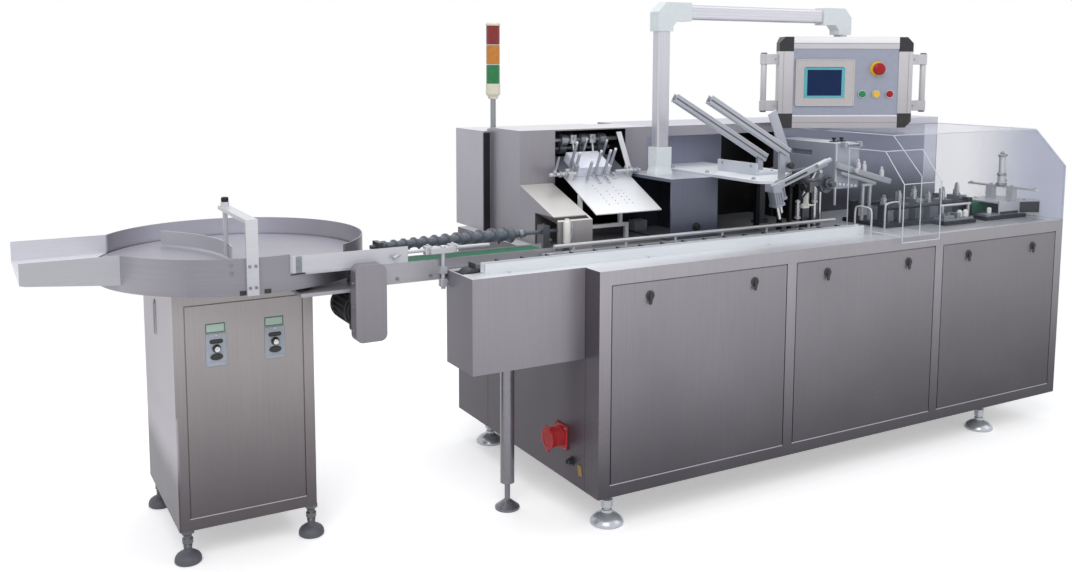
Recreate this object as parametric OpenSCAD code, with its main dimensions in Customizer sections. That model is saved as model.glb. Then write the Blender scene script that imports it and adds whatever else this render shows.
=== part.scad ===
// Automatic horizontal cartoner with its turntable feeder, millimetres.
// X runs along the machine with the flow of goods, Y from the operator side to the back, Z up from the floor.
// Inside the modules X = 0 is the left face of the base cabinet and Y = 0 its operator face.

/* [Base cabinet] */
// Length of the base cabinet
cabinet_l = 2400; // [2300:10:2600]
// Depth of the base cabinet
cabinet_w = 1075; // [1060:5:1120]
// Height of the work deck above the floor
deck_z = 900; // [880:5:930]
// Height of the cabinet underside above the floor
body_z = 130; // [100:5:160]
// Width of the left access door
first_door_w = 755; // [700:5:780]
// Width of the middle access door
second_door_w = 732; // [700:5:760]
// Strip of cabinet between two doors
door_gap = 52; // [40:1:70]
// Strip of cabinet at both ends of the door row
door_margin = 50; // [40:1:60]
// Strip of cabinet under the doors
door_sill = 45; // [35:1:60]
// Strip of cabinet over the doors
door_head = 52; // [40:1:70]
// Thickness of a door
door_t = 6; // [4:1:10]
// Open seam around a door
door_seam = 4; // [2:0.5:6]
// Distance of a latch from the edge of its door
latch_inset = 150; // [120:5:180]
// Diameter of a machine foot pad
foot_d = 116; // [90:2:130]

/* [Infeed box] */
// Length of the infeed box in front of the cabinet's left face
infeed_l = 415; // [380:5:450]
// Setback of the infeed box from the operator face
infeed_y = 90; // [70:5:110]
// Depth of the infeed box
infeed_w = 193; // [180:1:196]
// Height of the infeed box
infeed_h = 310; // [260:5:360]

/* [Upper housings] */
// Line of the upper housings' front, behind the operator face
housing_y = 680; // [660:5:700]
// Height of the upper housings above the deck
housing_h = 416; // [400:2:430]
// Depth of the rear housing
housing_w = 370; // [340:5:375]
// Left face of the leaflet housing
leaflet_x = 75; // [60:5:85]
// Width of the leaflet housing
leaflet_w = 590; // [570:5:600]
// Depth of the leaflet housing
leaflet_d = 244; // [230:2:246]
// Depth of the electrical cabinet behind it
electrical_d = 260; // [220:5:300]
// Width of the chute cover
chute_w = 145; // [130:5:150]
// Reach of the chute cover in front of the housing
chute_reach = 290; // [270:5:300]

/* [Signal beacon] */
// Diameter of the lenses
beacon_d = 58; // [50:1:64]
// Height of one lens
lens_h = 74; // [60:1:80]
// Length of the beacon pole
pole_h = 136; // [100:2:200]

/* [Control arm and panel] */
// Distance of the arm's post from the cabinet's left face
arm_x = 628; // [620:2:640]
// Distance of the arm from the operator face
arm_y = 540; // [530:1:545]
// Horizontal distance from the post to the panel's swivel axis
arm_reach = 955; // [930:5:980]
// Width of the arm's tubes in the arm's plane
arm_s = 58; // [52:1:64]
// Depth of the arm's tubes, square to the arm's plane
arm_t = 44; // [38:1:52]
// Height of the arm over the deck
arm_h = 908; // [904:2:960]
// Width of the panel without its handles
panel_w = 586; // [560:2:600]
// Height of the panel
panel_h = 388; // [360:2:392]
// Depth of the panel
panel_d = 90; // [80:1:96]
// Angle at which the panel faces the operator
panel_turn = 25; // [20:1:27]

/* [Carton magazine] */
// Height of the pedestal over the deck
pedestal_h = 237; // [225:1:250]
// Left face of the pedestal
pedestal_x = 552; // [550:1:560]
// Front face of the pedestal
pedestal_y = 360; // [340:5:380]
// Slope of the carton rails
magazine_slope = 28.5; // [24:0.5:32]
// Distance between the two carton rails
rail_pitch = 200; // [160:5:220]

/* [Guards] */
// Thickness of the clear guard panes
pane_t = 4; // [3:0.5:6]
// Left end of the end guard
end_guard_x = 1495; // [1480:5:1520]
// Height of the end guard over the deck
end_guard_h = 388; // [370:2:392]
// Distance by which the lifting guard stands in front of the cabinet
guard_out = 25; // [20:1:40]
// Left face of the lifting guard
guard_x = 1370; // [1362:2:1380]
// Overlap of the lifting guard over the end guard
guard_lap = 90; // [60:5:110]

/* [Turntable] */
// Outer radius of the turntable rim
rim_r = 432; // [424:2:440]
// Distance of the turntable axis to the left of the cabinet
table_x = 1003; // [990:1:1030]
// Distance of the turntable axis from the operator face
table_y = 722; // [715:1:730]
// Height of the rim's top edge over the floor
rim_z = 993; // [980:1:1010]
// Height of the rim from pan floor to top edge
rim_h = 112; // [100:1:116]
// Height of the disc over the floor
disc_z = 932; // [928:1:936]
// Thickness of the rim sheet
rim_t = 4; // [3:0.5:6]
// Length of the loading tray from the turntable axis
tray_reach = 657; // [620:1:700]
// Width of the loading tray
tray_w = 430; // [380:2:450]
// Width of the turntable stand
stand_w = 440; // [420:5:480]
// Depth of the turntable stand
stand_d = 540; // [500:5:580]
// Height of the stand's underside over the floor
stand_z = 110; // [90:2:130]

/* [Infeed conveyor] */
// Front face of the conveyor bed, from the operator face
conveyor_y = 288; // [288:1:292]
// Width of the conveyor belt
belt_w = 80; // [70:1:84]
// Thickness of the belt
belt_t = 4; // [3:0.5:5]
// Largest diameter of the timing screw
screw_d = 62; // [56:1:64]
// Smallest diameter of the timing screw
screw_d0 = 34; // [28:1:40]
// Number of pockets along the timing screw
screw_pockets = 12; // [8:1:14]

/* [Hidden] */
$fn = 48;
touch = 0.3;
run_fit = 0.05;
cut = 1;

// Axis and level values
infeed_z = deck_z - infeed_h;
housing_z = deck_z + housing_h;
door_z0 = body_z + door_sill;
door_z1 = deck_z - door_head;
third_door_w = cabinet_l - 2*door_margin - 2*door_gap - first_door_w - second_door_w;
door_ws = [first_door_w, second_door_w, third_door_w];
door_xs = [door_margin, door_margin + first_door_w + door_gap,
           door_margin + first_door_w + second_door_w + 2*door_gap];
latch_z = door_z1 - 46;
latch_out = 11;
feet_xs = [92, cabinet_l - 380];
feet_ys = [85, cabinet_w - 110];

// Product chain in its trench along the front of the deck
chain_y0 = 182;
chain_w = 58;
chain_x0 = -infeed_l + 12;
chain_x1 = 1340;
chain_h = 88;
chain_t = 10;
chain_rise = 14;
flight_pitch = 96;
trench_gap = 6;
trench_z = deck_z + chain_rise - chain_h;
rail_w = 36;
rail_h = 34;
rail_y0 = chain_y0 - trench_gap - rail_w;
rail_x0 = -infeed_l + 70;
rear_rail_y0 = chain_y0 + chain_w + trench_gap;
rear_rail_w = 30;
rear_rail_h = 22;

// Leaflet station
window_x0 = leaflet_x + 156;
window_x1 = leaflet_x + leaflet_w - 105;
window_w = window_x1 - window_x0;
window_z0 = deck_z + 12;
window_z1 = housing_z - 5;
window_d = 200;
table_front_y = 400;
table_front_z = deck_z + 117;
table_slope = 26.8;
table_len = 405;
table_t = 4;
perforation_x = [89, 129, 171, 194];
perforation_rows = [7, 5, 6, 5];
perforation_pitch = 21.8;
stack_lo = [58, 256];
stack_hi = [204, 372];
stack_h = 40;
shaft_s = 247;
shaft_h = 20;
shaft_d = 14;
shaft_ends = [[-76, 40], [224, 340]];
table_x0 = leaflet_x + 167;
leaflet_table_w = 295;
prong_d = 8;
// Pins round the stack: place across, place up the slope and height over the table
prongs = [[73, 211, 100], [128, 246, 120], [171, 246, 120], [212, 272, 110],
          [44, 298, 130], [46, 264, 104], [147, 384, 92], [236, 372, 90]];
chute_front_h = 106;
chute_back_h = 209;
electrical_z = housing_z - 14;
electrical_x = leaflet_x - 30;
electrical_y = housing_y + leaflet_d;

// Beacon
beacon_x = electrical_x + 56;
beacon_y = electrical_y + 28;
pole_d = 22;
ring_h = 4;
beacon_base_h = 52;
beacon_z = electrical_z + pole_h;

// Control arm and panel
pedestal_w = 223;
pedestal_z = deck_z + pedestal_h;
arm_z = deck_z + arm_h;
base_h = 108;
fitting_s = arm_s + 14;
fitting_t = arm_t + 12;
tube_round = 9;
elbow_drop = 112;
elbow_run = 125;
panel_x = arm_x + arm_reach;
neck_h = 10;
panel_z1 = arm_z - elbow_drop - neck_h;
panel_z0 = panel_z1 - panel_h;
panel_back = 5;
panel_front = panel_d - panel_back;
panel_draw = 26;
panel_draw_l = 45;
corner_s = 62;
corner_cut = 26;
profile_w = corner_s;
face_t = 4;
face_sink = 3;
handle_out = 71;
grip_d = 26;
handle_h = 254;
bracket_h = 44;

// Carton magazine
bed_x0 = pedestal_x + 190;
bed_w = 300;
bed_t = 10;
bed_y0 = 62;
bed_corner = 60;
bed_nose = 50;
bed_wing = 58;
bed_back = 95;
bed_wing_y = [bed_y0 + 239, bed_y0 + 498];
bed_z = pedestal_z + bed_t;
clamp_t = 12;
carton_rail_y = 120;
carton_rail_w = 26;
carton_rail_h = 30;
carton_rail_t = 4;
carton_rail_len = [426, 506];
carton_rail_x = 530;
carton_rail_z = deck_z + 546;
erector_x = 1180;
erector_h = 205;
erector_y0 = 150;
erector_y1 = 590;
erector_post_ys = [300, 560];
erector_arm_ys = [190, 390, 480];

// Guards
closing_x0 = 1350;
closing_x1 = end_guard_x - 8;
closing_y0 = 318;
closing_z0 = deck_z + 159;
closing_z1 = deck_z + 347;
closing_back = 160;
closing_rail_y0 = 190;
closing_rail_y1 = 430;
closing_rail_z = deck_z + 16;
closing_mid = 288;
closing_end = 70;
press_x = cabinet_l - 235;
hood_y0 = 145;
hood_y1 = 334;
hood_z = deck_z + 70;
hood_t = 5;
hood_l = 135;
hood_end_y = 108;
press_bar_x = press_x + 122;
closing_row_x = end_guard_x + 90;
closing_pitch = (press_x - closing_row_x - 125)/5;
end_guard_z = deck_z + end_guard_h;
end_slope_z = deck_z + 235;
end_slope_y = 150;
guard_z0 = deck_z - 18;
guard_slope_z = deck_z + 212;
guard_top_z = deck_z + 334;
guard_top_y = 75;
hinge_y = closing_y0 - 14;
hinge_z = guard_top_z + 8;
hinge_pin_d = 10;
hinge_barrel_d = 20;
barrel_x0 = guard_x + 24;
barrel_x1 = barrel_x0 + 72;
lug_t = 14;

// Turntable feeder
tx = -table_x;
ty = table_y;
pan_z = rim_z - rim_h;
pan_t = 5;
disc_gap = 8;
disc_t = 6;
disc_r = rim_r - rim_t - disc_gap;
spindle_d = 60;
spindle_len = 90;
tray_x0 = tx - tray_reach;
tray_z = disc_z - 4;
tray_tip_z = disc_z + 3;
tray_t = 3;
stand_x0 = tx - 27 - stand_w/2;
stand_mid = ty + 13;
stand_y0 = stand_mid - stand_d/2;
stand_foot_xs = [stand_x0 + 28, stand_x0 + stand_w - 12];
stand_foot_ys = [stand_y0 + 28, stand_y0 + stand_d - 28];
stand_foot_d = 84;

bow_x = tx - 44;
bow_y = ty - 105;
bow_rod_d = 16;
bridge_top = rim_z + 117;

// Infeed conveyor
side_t = 6;
side_gap = 4;
bed_depth = 67;
bed_top = disc_z + 3;
bed_web_t = 6;
belt_y0 = conveyor_y + side_t + side_gap;
conveyor_back = belt_y0 + belt_w + side_gap + side_t;
belt_z = disc_z;
roller_d = 44;
belt_low = belt_z - 2*belt_t - roller_d - 2*touch;
rim_clear = 6;
belt_mid = belt_y0 + belt_w/2;
conveyor_x0 = tx + sqrt(pow(rim_r + rim_clear, 2) - pow(ty - conveyor_back, 2));
conveyor_x1 = 0;
belt_x0 = conveyor_x0 + 4;
belt_x1 = -20;
screw_y = conveyor_back + screw_d/2 + 6;
screw_z = belt_z + screw_d/2 + 6;
screw_x0 = -585;
screw_x1 = -88;
screw_stub_d = 14;
screw_bearing_t = 16;

// Whole object
x_min = tray_x0;
x_max = cabinet_l;
y_min = -guard_out;
y_max = max(electrical_y + electrical_d, ty + rim_r);

// Moves the machine frame so that the origin is at the bottom centre of the whole object
module placed()
    translate([-(x_min + x_max)/2, -(y_min + y_max)/2, 0]) children();

// Block between two corners
module block(a, b) translate(a) cube(b - a);

// Round bar from a point along X, Y or Z
module bar_x(p, d, l) translate(p) rotate([0, 90, 0]) cylinder(d = d, h = l);
module bar_y(p, d, l) translate(p) rotate([-90, 0, 0]) cylinder(d = d, h = l);
module bar_z(p, d, l) translate(p) cylinder(d = d, h = l);

// Outline in the Y-Z plane carried along X
module along_x(x0, x1, outline)
    translate([x0, 0, 0]) rotate([90, 0, 90]) linear_extrude(x1 - x0) polygon(outline);

// Outline in the X-Z plane carried along Y
module along_y(y0, y1, outline)
    translate([0, y1, 0]) rotate([90, 0, 0]) linear_extrude(y1 - y0) polygon(outline);

// Flat loop running around two round ends, in the X-Z plane
module loop_outline(x0, x1, z0, z1) {
    r = (z1 - z0)/2;
    translate([x0 + r, z0 + r]) circle(r);
    translate([x1 - r, z0 + r]) circle(r);
    translate([x0 + r, z0]) square([x1 - x0 - 2*r, 2*r]);
}
module loop(x0, x1, y0, y1, z0, z1, t)
    translate([0, y1, 0]) rotate([90, 0, 0]) linear_extrude(y1 - y0) difference() {
        loop_outline(x0, x1, z0, z1);
        loop_outline(x0 + t, x1 - t, z0 + t, z1 - t);
    }

// Trench for the product chain, with the track between its two runs left standing
module chain_trench() difference() {
    block([chain_x0 - trench_gap, chain_y0 - trench_gap, trench_z],
          [chain_x1 + trench_gap, chain_y0 + chain_w + trench_gap, deck_z + cut]);
    block([chain_x0 + chain_h/2, chain_y0 - 2*trench_gap, trench_z + chain_t + touch],
          [chain_x1 - chain_h/2, chain_y0 + chain_w + 2*trench_gap, deck_z - cut]);
}

module base_cabinet() placed() color("#8d8884") difference() {
    block([0, 0, body_z], [cabinet_l, cabinet_w, deck_z]);
    for (i = [0:2], side = [0, 1])
        translate([door_xs[i] - door_seam, side == 0 ? -cut : cabinet_w - door_t, door_z0 - door_seam])
            cube([door_ws[i] + 2*door_seam, door_t + cut, door_z1 - door_z0 + 2*door_seam]);
    chain_trench();
}

module access_doors() placed() color("#8d8884")
    for (i = [0:2], side = [0, 1])
        translate([door_xs[i], side == 0 ? 0 : cabinet_w - door_t, door_z0])
            cube([door_ws[i], door_t, door_z1 - door_z0]);

// Turn latch: round boss with a key wing hanging from it
module latch() {
    bar_y([0, -latch_out, 0], 26, latch_out);
    block([-7, -latch_out, -38], [7, -latch_out/2, 0]);
}

module door_latches() placed() color("#1c1c1e")
    for (i = [0:2], x = [door_xs[i] + latch_inset, door_xs[i] + door_ws[i] - latch_inset]) {
        translate([x, 0, latch_z]) latch();
        translate([x, cabinet_w, latch_z]) rotate([0, 0, 180]) latch();
    }

// Levelling foot: bell pad, threaded stem and lock nut under the frame
module foot(d, top) {
    rotate_extrude() polygon([[0, 0], [d/2, 0], [d/2, 9], [d/5, 34], [13, 40], [13, top], [0, top]]);
    translate([0, 0, top - 16]) cylinder(d = 44, h = 16, $fn = 6);
}

module machine_feet() placed() color("#a9a9ab")
    for (x = feet_xs, y = feet_ys) translate([x, y, 0]) foot(foot_d, body_z);

module infeed_box() placed() color("#8d8884") difference() {
    block([-infeed_l, infeed_y, infeed_z], [0, infeed_y + infeed_w, deck_z]);
    chain_trench();
}

module power_inlet() placed() color("#b5262a") {
    inlet_y = 240;
    inlet_z = body_z + 145;
    inlet_s = 96;
    block([-8, inlet_y - inlet_s/2, inlet_z - inlet_s/2], [0, inlet_y + inlet_s/2, inlet_z + inlet_s/2]);
    bar_x([-62, inlet_y, inlet_z], 84, 56);
}

module electrical_cabinet() placed() color("#8f8b92")
    block([electrical_x, electrical_y, deck_z],
          [leaflet_x + leaflet_w, electrical_y + electrical_d, electrical_z]);

module leaflet_housing() placed() color("#8f8b8c") difference() {
    block([leaflet_x, housing_y, deck_z], [leaflet_x + leaflet_w, housing_y + leaflet_d, housing_z]);
    block([window_x0, housing_y - cut, window_z0], [window_x1, housing_y + window_d, window_z1]);
}

// Sheet cover from the housing down to the infeed, open where the screw shaft enters
module chute_cover() placed() color("#b0aca8") {
    front_y = housing_y - chute_reach;
    hole_y0 = front_y + 10;
    hole_y1 = front_y + 170;
    difference() {
        along_x(leaflet_x, leaflet_x + chute_w,
            [[front_y, deck_z], [housing_y, deck_z], [housing_y, deck_z + chute_back_h],
             [front_y, deck_z + chute_front_h]]);
        along_x(leaflet_x - cut, leaflet_x + chute_w - 8,
            [[hole_y0, deck_z - cut], [hole_y1, deck_z - cut], [hole_y1, deck_z + chute_front_h + 12],
             [hole_y0, deck_z + chute_front_h - 8]]);
    }
}

// Rear housing with the carton mechanism's bay: deep under and beside the magazine, shallow behind its bed
module rear_housing() placed() color("#8f8b8c") difference() {
    x0 = leaflet_x + leaflet_w;
    recess_d = 150;
    bay_x0 = bed_x0 + bed_w + 90;
    block([x0, housing_y, deck_z], [cabinet_l, housing_y + housing_w, housing_z]);
    block([x0 + 25, housing_y - cut, deck_z - cut], [closing_x0, housing_y + recess_d, pedestal_z]);
    block([x0 + 25, housing_y - cut, pedestal_z - cut], [bay_x0 + cut, housing_y + bed_back, housing_z - 41]);
    block([bay_x0, housing_y - cut, deck_z - cut], [closing_x0, housing_y + recess_d, housing_z - 41]);
}

// Frame of the sloping leaflet table: X across, Y up the slope, Z normal to the plate
module on_leaflet_table()
    translate([table_x0, table_front_y, table_front_z]) rotate([table_slope, 0, 0]) children();

module leaflet_table() placed() color("#d9d9dc") {
    hole_d = 6;
    post_s = 14;
    post_y = table_front_y + 120;
    post_z = table_front_z + 122*tan(table_slope);
    cross_z = deck_z + 46;
    left = table_x0 + 2;
    strut = table_x0 + 184;
    right = table_x0 + 213;
    on_leaflet_table() difference() {
        cube([leaflet_table_w, table_len, table_t]);
        for (i = [0:3], j = [0:perforation_rows[i] - 1])
            translate([perforation_x[i], 57 + j*perforation_pitch, -cut])
                cylinder(d = hole_d, h = table_t + 2*cut);
    }
    block([left, post_y, deck_z], [left + post_s, post_y + post_s, post_z]);
    block([strut, post_y, cross_z], [strut + post_s, post_y + post_s, post_z]);
    block([right, post_y, deck_z], [right + post_s, post_y + post_s, cross_z + post_s]);
    block([left, post_y, cross_z], [right + post_s, post_y + post_s, cross_z + post_s]);
}

// Upright pins that hold the stack, three of them on strips down the slope, and two shaft ends on blocks
module leaflet_guides() placed() color("#b9bcc4") on_leaflet_table() {
    strip_w = 14;
    strip_l = 50;
    strip_h = 7;
    block_w = 22;
    for (p = prongs) translate([p.x, p.y, table_t]) cylinder(d = prong_d, h = p.z);
    for (i = [1:3]) translate([prongs[i].x - strip_w/2, prongs[i].y - strip_l, table_t])
        cube([strip_w, strip_l + strip_w/2, strip_h]);
    for (x = [0, leaflet_table_w - block_w]) translate([x, shaft_s - 18, table_t])
        cube([block_w, 36, shaft_h + 12]);
    for (e = shaft_ends) translate([e.x, shaft_s, table_t + shaft_h]) rotate([0, 90, 0])
        cylinder(d = shaft_d, h = e.y - e.x);
}

module leaflet_stack() placed() color("#f4f4f6") on_leaflet_table()
    translate([stack_lo.x, stack_lo.y, table_t])
        cube([stack_hi.x - stack_lo.x, stack_hi.y - stack_lo.y, stack_h]);

module leaflet_rollers() placed() color("#8a8d92")
    for (k = [0, 1]) {
        y = housing_y + 70 + 55*k;
        z = housing_z - 46 - 38*k;
        bar_x([window_x0, y, z], 18, window_x1 - window_x0);
        for (i = [0:2]) bar_x([window_x0 + window_w*(0.188 + 0.2736*i + 0.073*k), y, z], 46, 28);
    }

module beacon_pole() placed() color("#b8b9bc") translate([beacon_x, beacon_y, electrical_z])
    rotate_extrude() polygon([[0, 0], [25, 0], [25, 6], [pole_d/2, 12], [pole_d/2, pole_h], [0, pole_h]]);

module beacon_base() placed() color("#e6e2d2") {
    top = beacon_z + beacon_base_h + 3*lens_h + 2*ring_h;
    translate([beacon_x, beacon_y, beacon_z])
        rotate_extrude() polygon([[0, 0], [beacon_d/2 - 8, 0], [beacon_d/2, 10],
                                  [beacon_d/2, beacon_base_h], [0, beacon_base_h]]);
    translate([beacon_x, beacon_y, top])
        rotate_extrude() polygon([[0, 0], [beacon_d/2, 0], [beacon_d/2, 8], [beacon_d/2 - 8, 14], [0, 14]]);
}

// One lens of the beacon, the lowest is number 0
module lens(i) {
    z = beacon_z + beacon_base_h + i*(lens_h + ring_h);
    bar_z([beacon_x, beacon_y, z], beacon_d - 4, lens_h);
    if (i < 2) bar_z([beacon_x, beacon_y, z + lens_h], beacon_d - 10, ring_h);
}
module beacon_green() placed() color("#1f9a5a") lens(0);
module beacon_amber() placed() color("#e8932a") lens(1);
module beacon_red() placed() color("#c8262c") lens(2);

// Hollow pedestal of the arm, open to the leaflet station
module arm_pedestal() placed() color("#8b8a8e") {
    wall = 6;
    top_t = 12;
    difference() {
        block([pedestal_x, pedestal_y, deck_z], [pedestal_x + pedestal_w, housing_y, pedestal_z]);
        block([pedestal_x - cut, pedestal_y + wall, deck_z + wall],
              [pedestal_x + 0.75*pedestal_w, housing_y - wall, pedestal_z - top_t]);
    }
}

// Corner casting of the arm: chamfered outside, from the post's top to the beam
module elbow(dir) {
    h = fitting_s/2;
    along_y(arm_y - fitting_t/2, arm_y + fitting_t/2,
        [for (p = [[-h, -elbow_drop], [-h, -38], [-h + 38, 0], [elbow_run, 0], [elbow_run, -fitting_s],
                   [h + 20, -fitting_s], [h, -fitting_s - 20], [h, -elbow_drop]])
            [dir*p[0] + (dir > 0 ? arm_x : panel_x), p[1] + arm_z]]);
}

module arm_fittings() placed() color("#d3dadd") {
    h = fitting_s/2;
    t = fitting_t/2;
    block([arm_x - h, arm_y - t, pedestal_z], [arm_x + h, arm_y + t, pedestal_z + 12]);
    block([arm_x - arm_s/2, arm_y - arm_t/2, pedestal_z + 12],
          [arm_x + arm_s/2, arm_y + arm_t/2, pedestal_z + 36]);
    block([arm_x - h, arm_y - t, pedestal_z + 36], [arm_x + h, arm_y + t, pedestal_z + base_h]);
    elbow(1);
    elbow(-1);
}

// Length of the arm's tube along Z, its section rounded at the corners
module arm_tube(len) linear_extrude(len) polygon(
    [for (c = [0:3], k = [0:4])
        let (a = 90*c + 22.5*k, sx = (c == 0 || c == 3) ? 1 : -1, sy = c < 2 ? 1 : -1)
        [sx*(arm_s/2 - tube_round) + tube_round*cos(a), sy*(arm_t/2 - tube_round) + tube_round*sin(a)]]);

module arm_tubes() placed() color("#c9c9cf") {
    translate([arm_x, arm_y, pedestal_z + base_h]) arm_tube(arm_z - elbow_drop - pedestal_z - base_h);
    translate([arm_x + elbow_run, arm_y, arm_z - fitting_s/2]) rotate([0, 90, 0])
        arm_tube(panel_x - arm_x - 2*elbow_run);
}

// Panel frame: X across the panel, Y to its back, Z up, origin on the swivel axis at the panel's mid height
module on_panel() placed()
    translate([panel_x, arm_y, (panel_z0 + panel_z1)/2]) rotate([0, 0, -panel_turn]) children();

// Plan of the panel: straight sides in front, drawn in towards the back
module panel_plan() translate([0, 0, -panel_h]) linear_extrude(2*panel_h) polygon(
    [[-panel_w/2, -panel_front], [panel_w/2, -panel_front], [panel_w/2, panel_back - panel_draw_l],
     [panel_w/2 - panel_draw, panel_back], [panel_draw - panel_w/2, panel_back],
     [-panel_w/2, panel_back - panel_draw_l]]);

module panel_case() color("#c8c7c6") on_panel() {
    difference() {
        intersection() {
            translate([-panel_w/2, -panel_front, -panel_h/2]) cube([panel_w, panel_d, panel_h]);
            panel_plan();
        }
        for (sx = [-1, 1], sz = [-1, 1])
            translate([sx*(panel_w/2 - corner_s/2), panel_back - panel_d/2, sz*(panel_h/2 - corner_s/2)])
                cube([corner_s, panel_d + 2*cut, corner_s], center = true);
        translate([-panel_w/2 + profile_w, -panel_front - cut, -panel_h/2 + profile_w - 12])
            cube([panel_w - 2*profile_w, face_t + face_sink + cut, panel_h - 2*profile_w + 24]);
    }
    translate([0, 0, panel_h/2]) cylinder(d = 54, h = neck_h - touch);
}

module panel_corners() color("#2a2a2e") on_panel()
    for (sx = [-1, 1], sz = [-1, 1]) scale_mirror(sx, sz) intersection() {
        along_y(-panel_front, panel_back,
            [[panel_w/2 - corner_s, panel_h/2 - corner_s], [panel_w/2, panel_h/2 - corner_s],
             [panel_w/2, panel_h/2 - corner_cut], [panel_w/2 - corner_cut, panel_h/2],
             [panel_w/2 - corner_s, panel_h/2]]);
        panel_plan();
    }
module scale_mirror(sx, sz) mirror([sx < 0 ? 1 : 0, 0, 0]) mirror([0, 0, sz < 0 ? 1 : 0]) children();

module panel_face() color("#8e93a3") on_panel()
    translate([-panel_w/2 + profile_w, -panel_front + face_sink, -panel_h/2 + profile_w - 12])
        cube([panel_w - 2*profile_w, face_t, panel_h - 2*profile_w + 24]);

face_y = -panel_front + face_sink;
face_half = panel_w/2 - profile_w;
bezel_x0 = -face_half + 10;
bezel_w = 256;
bezel_h = 198;
bezel_t = 8;
screen_x0 = bezel_x0 + 41;
screen_w = 168;
screen_h = 132;
// Free part of the plate beside the bezel, for the buttons
free_w = face_half - bezel_x0 - bezel_w;
free_mid = face_half - free_w/2;
button_d = 38;
module screen_bezel() color("#d8d2c8") on_panel() difference() {
    translate([bezel_x0, face_y - bezel_t, -bezel_h/2]) cube([bezel_w, bezel_t, bezel_h]);
    translate([screen_x0, face_y - bezel_t - cut, -screen_h/2]) cube([screen_w, 3 + cut, screen_h]);
}
module screen_glass() color("#1d2b52") on_panel()
    translate([screen_x0, face_y - bezel_t + 1, -screen_h/2]) cube([screen_w, 2, screen_h]);

// Emergency stop: collar on the plate and a mushroom head
module stop_button() color("#c3202a") on_panel() translate([free_mid + 4, face_y, 58]) rotate([90, 0, 0]) {
    cylinder(d = 58, h = 5);
    cylinder(d = 24, h = 26);
    translate([0, 0, 18]) cylinder(d1 = 34, d2 = 42, h = 8);
    translate([0, 0, 26]) cylinder(d1 = 42, d2 = 30, h = 7);
}

module push_buttons() color("#b9b9bc") on_panel()
    for (i = [-1:1]) translate([free_mid + i*0.307*free_w, face_y, -49]) rotate([90, 0, 0]) {
        cylinder(d = button_d, h = 6);
        cylinder(d = 27, h = 12);
    }

// Grips beside the panel, each on two brackets
module panel_handles() color("#cfcecd") on_panel() for (s = [-1, 1]) scale_mirror(s, 1) {
    x = panel_w/2 + handle_out - grip_d/2;
    y = -panel_front + 30;
    translate([x, y, -handle_h/2]) cylinder(d = grip_d, h = handle_h);
    for (z = [-handle_h/2 + 6, handle_h/2 - bracket_h - 6])
        translate([panel_w/2, y - 17, z]) cube([x - panel_w/2, 34, bracket_h]);
}

module front_rail() placed() color("#d6d6d8") difference() {
    lip = 6;
    block([rail_x0, rail_y0, deck_z], [chain_x1, rail_y0 + rail_w, deck_z + rail_h]);
    block([rail_x0 - cut, rail_y0 + lip, deck_z + lip],
          [chain_x1 + cut, rail_y0 + rail_w - lip, deck_z + rail_h + cut]);
}

// Rail behind the chain, with a guide rod on short posts
module rear_rail() placed() color("#c2c3c7") {
    x0 = -60;
    rod_z = deck_z + rear_rail_h + 22;
    y = rear_rail_y0 + rear_rail_w/2;
    block([x0, rear_rail_y0, deck_z], [chain_x1, rear_rail_y0 + rear_rail_w, deck_z + rear_rail_h]);
    for (i = [0:5]) bar_z([x0 + 120 + i*220, y, deck_z + rear_rail_h - cut], 10, 22);
    bar_x([x0 + 40, y, rod_z], 14, chain_x1 - x0 - 80);
}

// Chain loop with flights that push the goods
module product_chain() placed() color("#4c4d52") {
    loop(chain_x0, chain_x1, chain_y0, chain_y0 + chain_w, trench_z, deck_z + chain_rise, chain_t);
    flights = floor((chain_x1 - chain_x0 - chain_h)/flight_pitch);
    for (i = [0:flights])
        block([chain_x0 + chain_h/2 + i*flight_pitch, chain_y0 + 6, deck_z + chain_rise + touch],
              [chain_x0 + chain_h/2 + i*flight_pitch + 4, chain_y0 + chain_w - 6, deck_z + chain_rise + 15]);
}

// Cantilever plate over the pedestal with a rounded near corner and a slanting right edge
module magazine_bed() placed() color("#c4c6cb") {
    back_y = housing_y + bed_back;
    x1 = bed_x0 + bed_w;
    translate([0, 0, pedestal_z]) linear_extrude(bed_t) difference() {
        polygon([[bed_x0, bed_y0], [bed_x0 + bed_nose, bed_y0], [x1 + bed_wing, bed_wing_y[0]],
                 [x1 + bed_wing, bed_wing_y[1]], [x1, bed_wing_y[1] + 30], [x1, back_y], [bed_x0, back_y]]);
        translate([bed_x0 - cut, bed_y0 - cut]) difference() {
            square(bed_corner + cut);
            translate([bed_corner + cut, bed_corner + cut]) circle(bed_corner);
        }
    }
    clamp_y = carton_rail_y + rail_pitch;
    block([bed_x0 + 120, clamp_y - 80, bed_z], [bed_x0 + 230, clamp_y + 150, bed_z + clamp_t]);
    block([bed_x0 + 120, clamp_y - 80, bed_z + clamp_t], [bed_x0 + 128, clamp_y + 150, bed_z + 46]);
}

// One inclined U channel with its foot on the bed
module carton_rail(k) {
    len = carton_rail_len[k];
    y = carton_rail_y + k*rail_pitch;
    low_x = carton_rail_x + len*cos(magazine_slope);
    low_z = carton_rail_z - len*sin(magazine_slope);
    translate([carton_rail_x, y, carton_rail_z]) rotate([0, magazine_slope, 0]) difference() {
        translate([0, -carton_rail_w/2, -carton_rail_h/2]) cube([len, carton_rail_w, carton_rail_h]);
        translate([-cut, -carton_rail_w/2 + carton_rail_t, -carton_rail_h/2 + carton_rail_t])
            cube([len + 2*cut, carton_rail_w - 2*carton_rail_t, carton_rail_h]);
    }
    block([low_x - 40, y - 6, bed_z + k*clamp_t], [low_x - 14, y + 6, low_z + 2]);
}
module carton_rails() placed() color("#8f9299") {
    carton_rail(0);
    carton_rail(1);
}

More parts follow.
